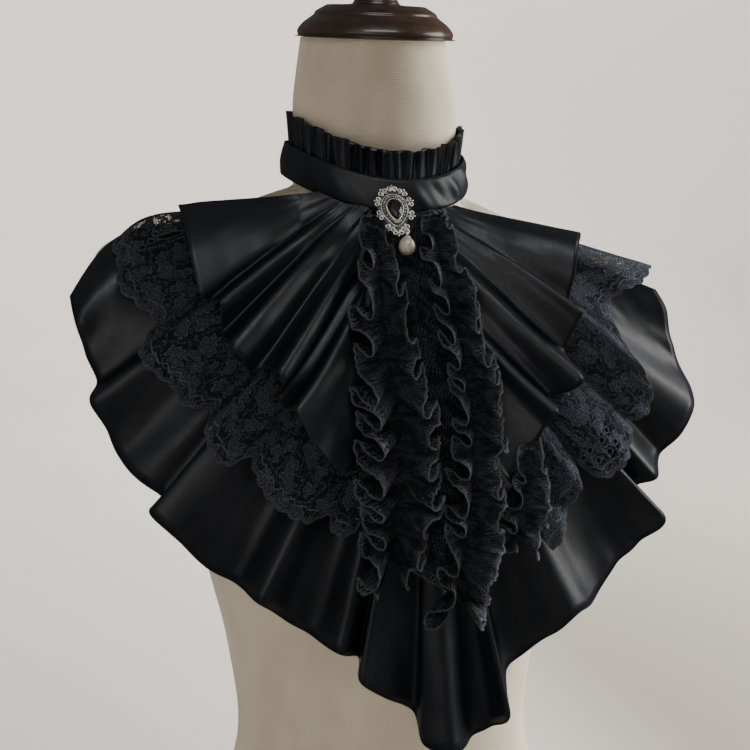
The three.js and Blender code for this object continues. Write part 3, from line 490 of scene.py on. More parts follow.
def grid_faces(rows, columns, around=False):
    faces = []
    for r in range(rows - 1):
        for c in range(columns if around else columns - 1):
            d = (c + 1) % columns
            faces.append((r * columns + c, r * columns + d, (r + 1) * columns + d, (r + 1) * columns + c))
    return faces


def end_faces(rows, columns):
    """The first and the last row of a grid that runs round, as a face each."""
    last = (rows - 1) * columns
    return [tuple(range(columns)), tuple(reversed(range(last, last + columns)))]


def lathe(radius, height, count):
    """The outline turned about the upright axis, as grid[row][column]."""
    turn = full_turn(count)
    across = radius[:, None]
    parts = np.broadcast_arrays(across * np.cos(turn), across * np.sin(turn), height[:, None])
    return np.stack(parts, axis=-1)


def round_object(name, grid):
    return new_object(name, grid.reshape(-1, 3), grid_faces(*grid.shape[:2], around=True))


def lengths(grid, axis):
    """How far along the grid each of its points is, in its own units."""
    steps = np.linalg.norm(np.diff(grid, axis=axis), axis=-1)
    first = np.zeros_like(np.take(steps, [0], axis=axis))
    return np.concatenate([first, np.cumsum(steps, axis=axis)], axis=axis)


def cloth_object(name, grid, thickness, keep=None, two_edges=False):
    """A thin shell on grid[row][column]. Its map has the length along the hem and the distance from the hem,
    or from the nearer edge where both are free."""
    rows, columns = grid.shape[:2]
    along = np.broadcast_to(lengths(grid, 1)[-1], (rows, columns))
    down = lengths(grid, 0)
    above = down[-1] - down
    if two_edges:
        above = np.minimum(above, down)
    uvs = np.stack([along, above], axis=-1).reshape(-1, 2)
    faces = grid_faces(rows, columns)
    if keep is not None:
        flat = keep.ravel()
        faces = [f for f in faces if all(flat[i] for i in f)]
    obj = new_object(name, grid.reshape(-1, 3), faces, uvs)
    shell = obj.modifiers.new("shell", "SOLIDIFY")
    shell.thickness = thickness * MM
    shell.offset = 0
    return obj


TINY = 1e-9
ANY_SIDE = (0.31, 0.22, 0.93)


class Piece:
    """Points and faces gathered into one object."""

    def __init__(self):
        self.points = []
        self.faces = []
        self.count = 0

    def add(self, points, faces):
        self.points.append(np.asarray(points, float))
        self.faces += [tuple(i + self.count for i in f) for f in faces]
        self.count += len(points)

    def tube(self, line, radius, sides=6, closed=False):
        line = np.asarray(line, float)
        radius = np.broadcast_to(radius, len(line))
        if closed:
            tangent = np.roll(line, -1, 0) - np.roll(line, 1, 0)
        else:
            tangent = np.gradient(line, axis=0)
        tangent /= np.maximum(np.linalg.norm(tangent, axis=1, keepdims=True), TINY)
        normal = np.cross(tangent[0], ANY_SIDE)
        turn = full_turn(sides)
        rings = []
        for k in range(len(line)):
            normal = normal - tangent[k] * np.dot(normal, tangent[k])
            normal /= max(np.linalg.norm(normal), TINY)
            side = np.cross(tangent[k], normal)
            spokes = np.cos(turn)[:, None] * normal + np.sin(turn)[:, None] * side
            rings.append(line[k] + radius[k] * spokes)
        faces = grid_faces(len(line), sides, around=True)
        if closed:
            last = (len(line) - 1) * sides
            turned = min(range(sides), key=lambda s: np.linalg.norm(rings[-1][0] - rings[0][s]))
            for s in range(sides):
                t = (s + 1) % sides
                faces.append((last + s, last + t, (t + turned) % sides, (s + turned) % sides))
        else:
            faces += [face[::-1] for face in end_faces(len(line), sides)]
        self.add(np.concatenate(rings), faces)

    def bead(self, middle, radius, steps=8):
        turn = full_turn(steps)
        rings = []
        for k in range(1, steps // 2):
            up = np.pi * k / (steps // 2)
            ring = [np.sin(up) * np.cos(turn), np.sin(up) * np.sin(turn), np.full(steps, np.cos(up))]
            rings.append(np.stack(ring, axis=1))
        points = np.concatenate([*rings, [[0, 0, 1]], [[0, 0, -1]]]) * radius + np.asarray(middle)
        faces = grid_faces(len(rings), steps, around=True)
        top = len(rings) * steps
        for s in range(steps):
            t = (s + 1) % steps
            faces.append((t, s, top))
            faces.append(((len(rings) - 1) * steps + s, (len(rings) - 1) * steps + t, top + 1))
        self.add(points, faces)

    def made(self, name, smooth=True, place=None):
        points = np.concatenate(self.points)
        if place is not None:
            points = points @ place[0].T + place[1]
        return new_object(name, points, self.faces, smooth=smooth)


# Materials
class Nodes:
    """One material's or group's node tree, built a node at a time."""

    def __init__(self, tree):
        self.tree = tree

    def node(self, kind, values=None, **settings):
        made = self.tree.nodes.new("ShaderNode" + kind)
        for name, value in settings.items():
            setattr(made, name, value)
        for name, value in (values or {}).items():
            self.put(made.inputs[name], value)
        return made

    def put(self, socket, value):
        if isinstance(value, bpy.types.NodeSocket):
            self.tree.links.new(value, socket)
        elif value is not None:
            socket.default_value = value

    def maths(self, operation, a, b=None, c=None):
        return self.node("Math", {0: a, 1: b, 2: c}, operation=operation).outputs[0]

    def times(self, a, b):
        return self.maths("MULTIPLY", a, b)

    def minus(self, a, b):
        return self.maths("SUBTRACT", a, b)

    def axes(self, place):
        return self.node("SeparateXYZ", {0: place}).outputs

    def ripple(self, value):
        """0 at every half turn of value and 1 between them."""
        return self.maths("ABSOLUTE", self.maths("SINE", value))

    def opposite(self, value):
        return self.minus(1.0, value)

    def highest(self, *values):
        found = values[0]
        for value in values[1:]:
            found = self.maths("MAXIMUM", found, value)
        return found

    def cells(self, place, uneven, feature="F1"):
        values = {"Vector": place, "Scale": 1.0, "Randomness": uneven}
        return self.node("TexVoronoi", values, voronoi_dimensions="2D", feature=feature).outputs

    def noise(self, place, scale, detail, distortion=0.0):
        values = {"Vector": place, "Scale": scale, "Detail": detail, "Distortion": distortion}
        return self.node("TexNoise", values).outputs

    def vector(self, operation, a, b=None, scale=None):
        values = {0: a, "Scale": scale} if operation == "SCALE" else {0: a, 1: b}
        made = self.node("VectorMath", values, operation=operation)
        return made.outputs["Value" if operation in ("LENGTH", "DOT_PRODUCT") else "Vector"]

    def blend(self, share, a, b):
        """The Mix node takes its two colours at sockets 6 and 7 and gives the blend at 2."""
        made = self.node("Mix", {0: share, 6: a, 7: b}, data_type="RGBA", clamp_factor=True)
        return made.outputs[2]

    def ease(self, value, low, high, bottom=0.0, top=1.0):
        values = {0: value, 1: low, 2: high, 3: bottom, 4: top}
        return self.node("MapRange", values, interpolation_type="SMOOTHSTEP").outputs[0]


def group(name, inputs, outputs):
    """A node group: its tree, its nodes, what comes in and what goes out."""
    tree = bpy.data.node_groups.new(name, "ShaderNodeTree")
    for way, sockets in (("INPUT", inputs), ("OUTPUT", outputs)):
        for label, kind in sockets:
            tree.interface.new_socket(label, in_out=way, socket_type="NodeSocket" + kind)
    g_in = tree.nodes.new("NodeGroupInput")
    g_out = tree.nodes.new("NodeGroupOutput")
    return tree, Nodes(tree), g_in.outputs, g_out.inputs


def material(name, finish):
    """A new material, its nodes and the inputs of its surface."""
    made = bpy.data.materials.new(name)
    made.use_nodes = True
    made.node_tree.nodes.clear()
    n = Nodes(made.node_tree)
    surface = n.node("BsdfPrincipled", finish)
    n.put(n.node("OutputMaterial").inputs["Surface"], surface.outputs[0])
    return made, n, surface.inputs


def cloth_place(n):
    """The cloth's own map, in millimetres."""
    return n.vector("MULTIPLY", n.node("TexCoord").outputs["UV"], (1000, 1000, 1000))


def object_place(n):
    return n.node("TexCoord").outputs["Object"]


def bump(n, height, strength, distance, over=None):
    values = {"Height": height, "Strength": strength, "Distance": distance * MM, "Normal": over}
    return n.node("Bump", values).outputs[0]


def paint(n, surface, share, first, second):
    """The surface's colour, blended by share from the first to the second."""
    n.put(surface["Base Color"], n.blend(share, (*first, 1), (*second, 1)))


# Warp and weft threads, and slow wear of their shade
def make_weave_group():
    tree, n, g_in, g_out = group(
        "threads",
        [("Place", "Vector"), ("Threads", "Float"), ("Slub", "Float")],
        [("Height", "Float"), ("Shade", "Float")],
    )
    split = n.axes(g_in["Place"])
    uneven = n.noise(g_in["Place"], 0.35, 3.0)[0]
    slub = n.times(n.minus(uneven, 0.5), g_in["Slub"])
    waves = []
    for axis in (0, 1):
        turns = n.times(n.maths("ADD", split[axis], slub), g_in["Threads"])
        waves.append(n.ripple(n.times(turns, math.pi)))
    n.put(g_out["Height"], n.times(n.maths("ADD", *waves), 0.5))
    n.put(g_out["Shade"], n.ease(uneven, 0.35, 0.65))
    return tree


# Embroidered lace: five-petalled flowers and leaves on a fine net, over a border of stitched scallops
def make_lace_group():
    tree, n, g_in, g_out = group(
        "embroidery",
        [("Place", "Vector"), ("Flower", "Float"), ("Border", "Float"), ("Net", "Float")],
        [("Thread", "Float"), ("Net Hole", "Float")],
    )
    place = g_in["Place"]
    along, up = n.axes(place)[:2]
    small = n.vector("SCALE", place, scale=n.maths("DIVIDE", 1.0, g_in["Flower"]))
    sway = n.vector("SUBTRACT", n.noise(small, 1.7, 1.0)["Color"], (0.5, 0.5, 0.5))
    small = n.vector("ADD", small, n.vector("SCALE", sway, scale=0.55))
    cells = n.cells(small, 0.85)
    offset = n.vector("SUBTRACT", small, cells["Position"])
    aside, ahead = n.axes(offset)[:2]
    tint = n.axes(cells["Color"])[0]
    turned = n.maths("ADD", n.maths("ARCTAN2", ahead, aside), n.times(tint, 6.28))
    reach = n.vector("LENGTH", offset)
    petals = n.ripple(n.times(turned, 2.5))
    inside = n.minus(n.maths("MULTIPLY_ADD", petals, 0.16, 0.24), reach)
    flower = n.ease(inside, -0.02, 0.02)
    outline = n.opposite(n.ease(n.maths("ABSOLUTE", inside), 0.015, 0.05))
    from_centre = n.maths("ABSOLUTE", n.minus(reach, 0.09))
    centre = n.opposite(n.ease(from_centre, 0.01, 0.035))
    vein = n.cells(small, 0.85, "DISTANCE_TO_EDGE")["Distance"]
    stem = n.ease(vein, 0.012, 0.04, 0.55, 0.0)
    leaf_wave = n.ripple(n.times(turned, 7.5))
    leaf = n.times(n.opposite(n.ease(vein, 0.06, 0.13)), n.ease(leaf_wave, 0.55, 0.75))
    scallop = n.ripple(n.times(n.maths("DIVIDE", along, g_in["Border"]), math.pi))
    above_edge = n.minus(up, n.maths("MULTIPLY_ADD", scallop, 1.8, 2.4))
    border = n.opposite(n.ease(above_edge, -0.3, 0.3))
    from_row = n.maths("ABSOLUTE", n.minus(up, n.maths("MULTIPLY_ADD", scallop, 2.2, 6.5)))
    second_row = n.opposite(n.ease(from_row, 0.35, 0.8))
    solid = n.highest(flower, leaf, border)
    cord = n.highest(outline, stem, second_row, centre)
    mesh = n.vector("SCALE", place, scale=n.maths("DIVIDE", 1.0, g_in["Net"]))
    hole = n.ease(n.cells(mesh, 0.12, "DISTANCE_TO_EDGE")["Distance"], 0.1, 0.22)
    stitch = n.ripple(n.times(turned, 27.5))
    bars = n.ripple(n.times(along, 3.3))
    satin_stitch = n.maths("MULTIPLY_ADD", n.times(stitch, bars), 0.25, 0.12)
    contour = n.ripple(n.maths("MULTIPLY_ADD", reach, 26.0, n.times(petals, 4.0)))
    filling = n.maths("MULTIPLY_ADD", n.ease(contour, 0.62, 0.95), 0.5, satin_stitch)
    net_thread = n.times(n.opposite(hole), 0.2)
    n.put(g_out["Thread"], n.highest(n.times(solid, filling), cord, net_thread))
    n.put(g_out["Net Hole"], n.times(hole, n.opposite(n.highest(solid, cord))))
    return tree


THREADS = make_weave_group()
EMBROIDERY = make_lace_group()
SCALLOP_WIDTH = 9.0
NET_SEE_THROUGH = 0.75
LACE_GROUND = (0.0025, 0.0035, 0.006)
LACE_FINISH = {"Roughness": 0.85, "Specular IOR Level": 0.12}


def use_group(n, tree, values):
    made = n.node("Group")
    made.node_tree = tree
    for name, value in values.items():
        n.put(made.inputs[name], value)
    return made.outputs


def satin_material():
    made, n, surface = material("black_satin", {})
    place = cloth_place(n)
    threads = use_group(n, THREADS, {"Place": place, "Threads": 3.2, "Slub": 0.25})
    tone = n.ease(n.noise(place, 0.045, 4.0)[0], 0.3, 0.7)
    paint(n, surface, tone, (0.005, 0.0068, 0.0115), (0.0085, 0.0102, 0.0155))
    n.put(surface["Roughness"], n.maths("MULTIPLY_ADD", threads["Shade"], 0.08, 0.39))
    turned = n.node("LayerWeight", {"Blend": 0.5}).outputs["Facing"]
    n.put(surface["Specular IOR Level"], n.ease(turned, 0.4, 0.95, 0.55, 0.08))
    crumpled = bump(n, n.noise(place, 0.028, 1.0)[0], 0.5, 3.6)
    n.put(surface["Normal"], bump(n, threads["Height"], 0.15, 0.05, crumpled))
    return made


def lace_material():
    made, n, surface = material("flower_lace", LACE_FINISH)
    place = cloth_place(n)
    pattern = {"Place": place, "Flower": 12.0, "Border": SCALLOP_WIDTH, "Net": 1.5}
    lace = use_group(n, EMBROIDERY, pattern)
    fuzz = n.ease(n.noise(place, 1.4, 2.0)[0], 0.35, 0.62, 0.35, 1.0)
    lit = n.times(lace["Thread"], fuzz)
    paint(n, surface, lit, LACE_GROUND, (0.13, 0.15, 0.198))
    n.put(surface["Normal"], bump(n, lit, 0.9, 0.6))
    n.put(surface["Alpha"], n.opposite(n.times(lace["Net Hole"], NET_SEE_THROUGH)))
    return made


def ruffle_material():
    made, n, surface = material("gathered_lace", LACE_FINISH)
    place = cloth_place(n)
    pulled = n.vector("SCALE", n.noise(place, 0.22, 2.0)["Color"], scale=4.5)
    split = n.axes(n.vector("ADD", place, pulled))
    ribs = n.ripple(n.times(split[0], 1.7))
    rows = n.ripple(n.times(split[1], 2.1))
    mesh = n.maths("POWER", n.times(n.maths("MULTIPLY_ADD", rows, 0.5, 0.5), ribs), 1.4)
    knots = n.ease(n.noise(place, 0.9, 3.0)[0], 0.35, 0.62, 0.3, 1.0)
    patches = n.ease(n.noise(place, 0.1, 2.0)[0], 0.4, 0.6, 0.3, 1.15)
    from_edge = n.axes(place)[1]
    # Painted highlight: the last factor paints the lace lighter towards its free edges; the knots and patches are
    # random tone.
    for share in (knots, patches, n.ease(from_edge, 1.0, 9.0, 1.3, 0.62)):
        mesh = n.times(mesh, share)
    bound = n.times(n.opposite(n.ease(from_edge, 0.5, 1.6)), 0.6)
    thread = n.highest(mesh, bound)
    paint(n, surface, thread, LACE_GROUND, (0.145, 0.16, 0.195))
    n.put(surface["Normal"], bump(n, thread, 0.9, 0.6))
    return made


def thread_material(name, colour):
    made, n, surface = material(name, {"Roughness": 0.7, "Specular IOR Level": 0.3})
    twist = n.noise(object_place(n), 900.0, 2.0)[0]
    paint(n, surface, twist, [c * 0.45 for c in colour], colour)
    n.put(surface["Normal"], bump(n, twist, 0.8, 0.3))
    return made


def linen_material():
    finish = {"Roughness": 0.9, "Specular IOR Level": 0.2, "Sheen Weight": 0.15}
    made, n, surface = material("form_linen", finish)
    place = cloth_place(n)
    threads = use_group(n, THREADS, {"Place": place, "Threads": 0.85, "Slub": 0.6})["Height"]
    blotch = n.ease(n.noise(place, 0.02, 5.0)[0], 0.25, 0.75)
    tone = n.maths("MULTIPLY_ADD", threads, 0.65, n.times(blotch, 0.35))
    paint(n, surface, tone, (0.47, 0.41, 0.31), (0.74, 0.665, 0.53))
    n.put(surface["Normal"], bump(n, threads, 0.6, 0.3))
    return made


def wood_material():
    made, n, surface = material("lacquered_wood", {"Coat Weight": 0.6, "Coat Roughness": 0.12})
    long = n.vector("MULTIPLY", object_place(n), (60.0, 420.0, 420.0))
    grain = n.noise(long, 0.6, 5.0, 0.8)[0]
    streak = n.noise(long, 3.0, 3.0)[0]
    tone = n.maths("MULTIPLY_ADD", streak, 0.4, n.times(grain, 0.8))
    paint(n, surface, n.ease(tone, 0.35, 0.8), (0.022, 0.0115, 0.007), (0.07, 0.036, 0.02))
    n.put(surface["Roughness"], n.ease(streak, 0.3, 0.7, 0.28, 0.42))
    n.put(surface["Normal"], bump(n, streak, 0.15, 0.2))
    return made


def silver_material(name, dull, bright):
    made, n, surface = material(name, {"Metallic": 0.45, "Specular IOR Level": 0.8})
    tarnish = n.noise(object_place(n), 420.0, 4.0)[0]
    worn = n.ease(tarnish, 0.35, 0.65)
    paint(n, surface, worn, dull, bright)
    n.put(surface["Roughness"], n.maths("MULTIPLY_ADD", worn, -0.12, 0.3))
    n.put(surface["Normal"], bump(n, tarnish, 0.2, 0.1))
    return made


def stone_material():
    finish = {"Roughness": 0.08, "Specular IOR Level": 0.5, "Coat Weight": 0.2, "Coat Roughness": 0.03}
    made, n, surface = material("black_stone", finish)
    depth = n.noise(object_place(n), 200.0, 2.0)[0]
    paint(n, surface, depth, (0.002, 0.002, 0.003), (0.012, 0.012, 0.014))
    return made


def pearl_material():
    finish = {"Specular IOR Level": 0.9, "Coat Weight": 0.8, "Coat Roughness": 0.12}
    made, n, surface = material("pearl", finish)
    lustre = n.noise(object_place(n), 230.0, 4.0, 1.2)[0]
    # Painted shade: the colour darkens where the surface faces down and to the right, and towards the rim as seen from
    # the camera; the lustre noise is the pearl's own mottle.
    below = n.vector("DOT_PRODUCT", n.node("NewGeometry").outputs["Normal"], (0.28, 0.0, -0.36))
    turned = n.node("LayerWeight", {"Blend": 0.35}).outputs["Facing"]
    depth = n.maths("ADD", n.maths("MULTIPLY_ADD", lustre, 1.1, turned), below)
    paint(n, surface, n.ease(depth, 0.3, 1.15), (0.7, 0.655, 0.57), (0.17, 0.125, 0.085))
    n.put(surface["Roughness"], n.ease(lustre, 0.3, 0.7, 0.16, 0.26))
    return made


SATIN = satin_material()
LACE = lace_material()
RUFFLE_LACE = ruffle_material()
HEM_THREAD = thread_material("hem_thread", (0.022, 0.023, 0.027))
PALE_THREAD = thread_material("edge_thread", (0.08, 0.09, 0.115))
LINEN = linen_material()
WOOD = wood_material()
SILVER = silver_material("aged_silver", (0.72, 0.68, 0.6), (1.0, 0.97, 0.9))
# Painted shade: near-black silver for the plate behind the filigree, so that the gaps between its wires show dark.
GAP_SHADE_SILVER = silver_material("gap_shade_silver", (0.012, 0.012, 0.013), (0.05, 0.048, 0.045))
STONE_LOOK = stone_material()
PEARL_LOOK = pearl_material()

SLOT_OF = {
    SATIN: "satin", HEM_THREAD: "satin", LACE: "lace", RUFFLE_LACE: "lace", PALE_THREAD: "lace",
    LINEN: "linen", WOOD: "wood", SILVER: "silver", GAP_SHADE_SILVER: "silver", STONE_LOOK: "stone",
    PEARL_LOOK: "pearl",
}


def dress(obj, look, *nodes, body="root"):
    """Gives obj its finish, the body it rides on and the solids that it stands for."""
    obj.data.materials.clear()
    obj.data.materials.append(look)
    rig.slot(obj, SLOT_OF[look])
    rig.ride(obj, body)
    if nodes:
        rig.replaces(obj, *nodes)
    return obj


# The dress form
FORM_COLUMNS = 144
FORM_CLOTH_LENGTH = 900
JUST_INSIDE = 0.99999
NECK_TILT_FROM_Z = 622
CAP_SEAT = dict(forward=7.5, gap=0.3)


def form_ring(z):
    torso_half, torso_middle = smooth_at(TORSO, "z", z, "half", "middle")
    neck_half, neck_middle = smooth_at(NECK, "z", z, "half", "middle")
    wide = z < TORSO["z"][-1] and (z < NECK["z"][0] or torso_half > neck_half)
    half, middle = (torso_half, torso_middle) if wide else (neck_half, neck_middle)
    angle = full_turn(FORM_COLUMNS)
    x = half * np.cos(angle)
    drop = shoulder_drop(x + middle, z)
    front = np.maximum(body_depth("front", x * JUST_INSIDE + middle, z - drop), 0)
    back = np.maximum(body_depth("back", x * JUST_INSIDE + middle, z - drop), 0)
    y = np.where(np.sin(angle) > 0, -front, back)
    for widest in (0, FORM_COLUMNS // 2):
        y[widest] = 0
        for side in (-1, 1):
            y[(widest + side) % FORM_COLUMNS] = y[(widest + 2 * side) % FORM_COLUMNS] / 2
    tilt = smooth_step(NECK_TILT_FROM_Z, NECK_TOP_Z, z) * math.tan(NECK_TOP_TILT)
    return np.stack([x + middle, y, z - drop + tilt * y], axis=-1)


def make_form():
    trunk = np.arange(0, 480, 10)
    shoulders = np.arange(480, 600, 2.5)
    neck = np.arange(600, NECK_TOP_Z, 5)
    levels = np.concatenate([trunk, shoulders, neck, [NECK_TOP_Z]])
    grid = np.array([form_ring(z) for z in levels])
    shape = grid.shape[:2]
    along = np.broadcast_to(np.linspace(0, FORM_CLOTH_LENGTH, FORM_COLUMNS), shape)
    uvs = np.stack([along, np.broadcast_to(levels[:, None], shape)], axis=-1).reshape(-1, 2)
    faces = grid_faces(*shape, around=True) + end_faces(*shape)
    dress(new_object("form_cover", grid.reshape(-1, 3), faces, uvs), LINEN, "form_torso")


def make_cap():
    last = len(CAP_PROFILE["radius"]) - 1
    radius, height = through_rows(CAP_PROFILE, np.linspace(0, last, last * 6 + 1), "radius", "height")
    grid = lathe(np.maximum(radius, 0), height, 72)
    tilt = np.array(Matrix.Rotation(NECK_TOP_TILT, 3, "X"))
    forward = CAP_SEAT["forward"]
    seat_z = NECK_TOP_Z - forward * math.tan(NECK_TOP_TILT) + CAP_SEAT["gap"]
    points = grid.reshape(-1, 3) @ tilt.T + np.array([NECK["middle"][-1], -forward, seat_z])
    dress(round_object("neck_cap", points.reshape(grid.shape)), WOOD, "form_neck_cap")


# Irregular waves and creases, all from one seeded source
CREASE = dict(middle=(0, 1), width=(0.009, 0.028), height=(-1, 1), start=(0.05, 0.35), end=(0.45, 0.95),
              lean=(-0.03, 0.03))
CREASES_PER_FOLD = 0.7


def wander(places, spacing, size):
    """A soft irregular line: size high, with its turns about spacing apart."""
    places = np.asarray(places, float)
    low = places.min() - 2 * spacing
    count = int((places.max() - low) / spacing) + 5
    knots = rng.uniform(-1, 1, count)
    return size * through_rows({"v": knots}, (places - low) / spacing, "v")[0]


def creases(along, down, count, reach):
    """Long soft ridges and troughs that start near the seam and fade on the way to the hem."""
    total = np.zeros(np.broadcast(along, down).shape)
    for k in range(count):
        middle, width, height, start, end, lean = (rng.uniform(*ends) for ends in CREASE.values())
        across = (along - middle - lean * down) / width
        shape = smooth_step(start, start + 0.15, down) * (1 - smooth_step(end - 0.25, end, down))
        total += height * reach * np.exp(-across * across) * shape
    return total


# The flounces: gathered at the seam, with folds that open towards a fluttering hem
GATHERS = dict(height=0.3, pitch=5.2, second_pitch=3.1, turns_apart=9, uneven=1.6, from_seam=0.035, fade=22)
HEM_FROM = 0.82
HEM_TURNS_APART = 9
HEM_UP_TURNS_APART = 12
HEM_UP_SHARE = 0.6
SCALLOPS_FROM = 0.93


def path_length(x, z):
    return np.concatenate([[0], np.cumsum(np.hypot(np.diff(x), np.diff(z)))])


def flounce_grid(piece):
    folds = piece["folds"]
    last = len(folds["x"]) - 1
    u = np.linspace(0, last, last * piece["across"] + 1)
    seam, fold_x, fold_z, fold_lift = through_rows(folds, u, "seam", "x", "z", "lift")
    seam_x, seam_z = smooth_at(SEAM, "at", seam, "x", "z")
    v = (np.arange(piece["down"] + 1)[:, None] / piece["down"]) ** ROWS_CLOSE_UP
    x = mix(seam_x, fold_x, v)
    z = mix(seam_z, fold_z, v)
    lift = mix(piece["seam_lift"], fold_lift, v ** piece["rise"])
    if "edge" in piece:
        edge = piece["edge"]
        bow = (1 - smooth_step(0, edge["folds"], u)) * np.sin(np.pi * v ** edge["late"])
        z = z + edge["up"] * bow
        lift = lift + edge["lift"] * bow
    sewn = path_length(seam_x, seam_z)
    hem = path_length(fold_x, fold_z)
    length = np.hypot(fold_x - seam_x, fold_z - seam_z)
    g = GATHERS
    pleats = np.cos(2 * np.pi * sewn / g["pitch"] + wander(sewn, g["turns_apart"], g["uneven"]))
    pleats = pleats + 0.5 * np.cos(2 * np.pi * sewn / g["second_pitch"])
    start = smooth_step(0.0, g["from_seam"], v)
    lift = lift + g["height"] * pleats * start * np.exp(-v * length / g["fade"])
    along = np.linspace(0, 1, len(u))[None, :]
    lift = lift + creases(along, v, int((last + 1) * CREASES_PER_FOLD), piece["crease"])
    near = smooth_step(HEM_FROM, 1, v)
    lift = lift + near * wander(hem, HEM_TURNS_APART, piece["flutter"])
    z = z + near * wander(hem, HEM_UP_TURNS_APART, piece["flutter"] * HEM_UP_SHARE)
    if "scallop" in piece:
        reach = np.abs(np.sin(np.pi * hem / SCALLOP_WIDTH)) * piece["scallop"] / np.maximum(length, 1)
        reach = reach * smooth_step(SCALLOPS_FROM, 1, v)
        x = x + (fold_x - seam_x) * reach
        z = z + (fold_z - seam_z) * reach
    return on_chest(x, z, lift)


STITCH_STEP = 0.8


def hem_cord(name, line, radius, look, beat=2.2, swell=0.25):
    """A narrow overlocked edge: a cord with a stitch beat along it."""
    far = lengths(line, 0)
    at = np.linspace(0, far[-1], max(int(far[-1] / STITCH_STEP), 8))
    fine = np.stack([np.interp(at, far, line[:, k]) for k in range(3)], axis=1)
    piece = Piece()
    piece.tube(fine, radius * (1 + swell * np.sin(2 * np.pi * at / beat)))
    return dress(piece.made(name), look)


def edge_cords(name, grid, radius, look, **stitches):
    """A cord on the first and on the last row of the grid."""
    return [hem_cord(f"{name}_edge_{k}", grid[-k], radius, look, **stitches) for k in (0, 1)]


LEAST_AREA_SHARE = 0.31
HALF_MM = 0.0005


def cut(obj, grid, held, rests_on, with_pieces=()):
    """Declares a cloth by its cut: the box round it laid flat, and the area that is cut from the box."""
    a = np.cross(grid[1:, :-1] - grid[:-1, :-1], grid[:-1, 1:] - grid[:-1, :-1])
    b = np.cross(grid[1:, :-1] - grid[1:, 1:], grid[:-1, 1:] - grid[1:, 1:])
    area = float(np.linalg.norm(a, axis=-1).sum() + np.linalg.norm(b, axis=-1).sum()) / 2 * MM * MM
    deep = float(lengths(grid, 0)[-1].max()) * MM
    wide = max(float(lengths(grid, 1)[:, -1].max()) * MM, area / deep)
    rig.sheet(obj, flat=(round(wide + HALF_MM, 3), round(deep + HALF_MM, 3)), held=held,
             rests_on=[rests_on], with_pieces=with_pieces,
             area=round(max(area, LEAST_AREA_SHARE * wide * deep), 5))


LACE_TIER = dict(look=LACE, seam_lift=3.25, rise=1.5, across=14, down=90, crease=1.0, flutter=1.6,
                 scallop=2.2, rests_on="base_satin")
SATIN_TIER = dict(look=SATIN, seam_lift=5.25, rise=1.3, across=14, down=60, crease=1.0, flutter=1.0)
FLOUNCES = [
    dict(name="base_satin", node="base_flounce", folds=BASE_FOLDS, look=SATIN, seam_lift=1.0, rise=1.9,
         across=10, down=56, crease=1.3, flutter=1.1, rests_on="form_cover", edge=DRAWN_UP_EDGE),
    dict(LACE_TIER, name="lace_right", node="lace_tier_right", folds=LACE_RIGHT_FOLDS,
         edge=STANDING_EDGE, cutwork=SHOULDER_CUTWORK),
    dict(LACE_TIER, name="lace_left", node="lace_tier_left", folds=LACE_LEFT_FOLDS,
         cutwork=SCALLOP_CUTWORK),
    dict(SATIN_TIER, name="satin_right", node="satin_tier_right", folds=SATIN_RIGHT_FOLDS,
         rests_on="lace_right"),
    dict(SATIN_TIER, name="satin_left", node="satin_tier_left", folds=SATIN_LEFT_FOLDS,
         rests_on="lace_left"),
]
CUTWORK = dict(cleared=0.75, drawn_in=1.3, beside=1.6, cord=0.5, steps=28)


def unit(line):
    return line / np.linalg.norm(line)


def open_cutwork(grid, piece):
    """Opens each hole of the cutwork, draws the cloth's points in to its rim and sews a cord round it."""
    rows, columns = grid.shape[:2]
    u = np.linspace(0, len(piece["folds"]["x"]) - 1, columns)
    v = (np.arange(rows) / (rows - 1)) ** ROWS_CLOSE_UP
    turn = full_turn(CUTWORK["steps"])
    keep = np.ones((rows, columns), bool)
    cords = Piece()
    for fold, down, across, deep in zip(*piece["cutwork"].values()):
        c = int(np.argmin(np.abs(u - fold)))
        r = int(np.argmin(np.abs(v - down)))
        middle = grid[r, c]
        side = unit(grid[r, c + 2] - grid[r, c - 2])
        outwards = unit(np.cross(grid[r + 2, c] - grid[r - 2, c], side))
        fall = np.cross(side, outwards)
        away = grid - middle
        a = away @ side / across
        b = away @ fall / deep
        near = np.linalg.norm(away, axis=-1) < 2 * max(across, deep)
        far = np.hypot(a, b)
        rim = near & (far > CUTWORK["cleared"]) & (far < CUTWORK["drawn_in"])
        scale = np.where(rim, 1 / np.maximum(far, 0.01) - 1, 0)[..., None]
        grid += ((a * across)[..., None] * side + (b * deep)[..., None] * fall) * scale
        keep &= ~(near & (far <= CUTWORK["cleared"]))
        ring = middle + np.outer(np.cos(turn) * across, side) + np.outer(np.sin(turn) * deep, fall)
        cloth = grid[near & (far < CUTWORK["beside"])]
        nearest = [cloth[np.argmin(np.linalg.norm(cloth - p, axis=1))] for p in ring]
        height = [float(outwards @ (q - p)) for p, q in zip(ring, nearest)]
        cords.tube(ring + np.outer(height, outwards), CUTWORK["cord"], closed=True)
    return keep, [dress(cords.made(piece["name"] + "_eyelets"), PALE_THREAD)]


def make_flounce(piece):
    grid = flounce_grid(piece)
    wall, cord, thread = (0.6, 0.45, HEM_THREAD) if piece["look"] is SATIN else (0.7, 0.5, PALE_THREAD)
    keep, rings = open_cutwork(grid, piece) if "cutwork" in piece else (None, [])
    obj = dress(cloth_object(piece["name"], grid, wall, keep=keep), piece["look"], piece["node"])
    edge = np.concatenate([grid[:, 0], grid[-1], grid[::-1, -1]])
    hem = hem_cord(piece["name"] + "_hem", edge, cord, thread)
    cut(obj, grid, "gathered", piece["rests_on"], [hem, *rings])


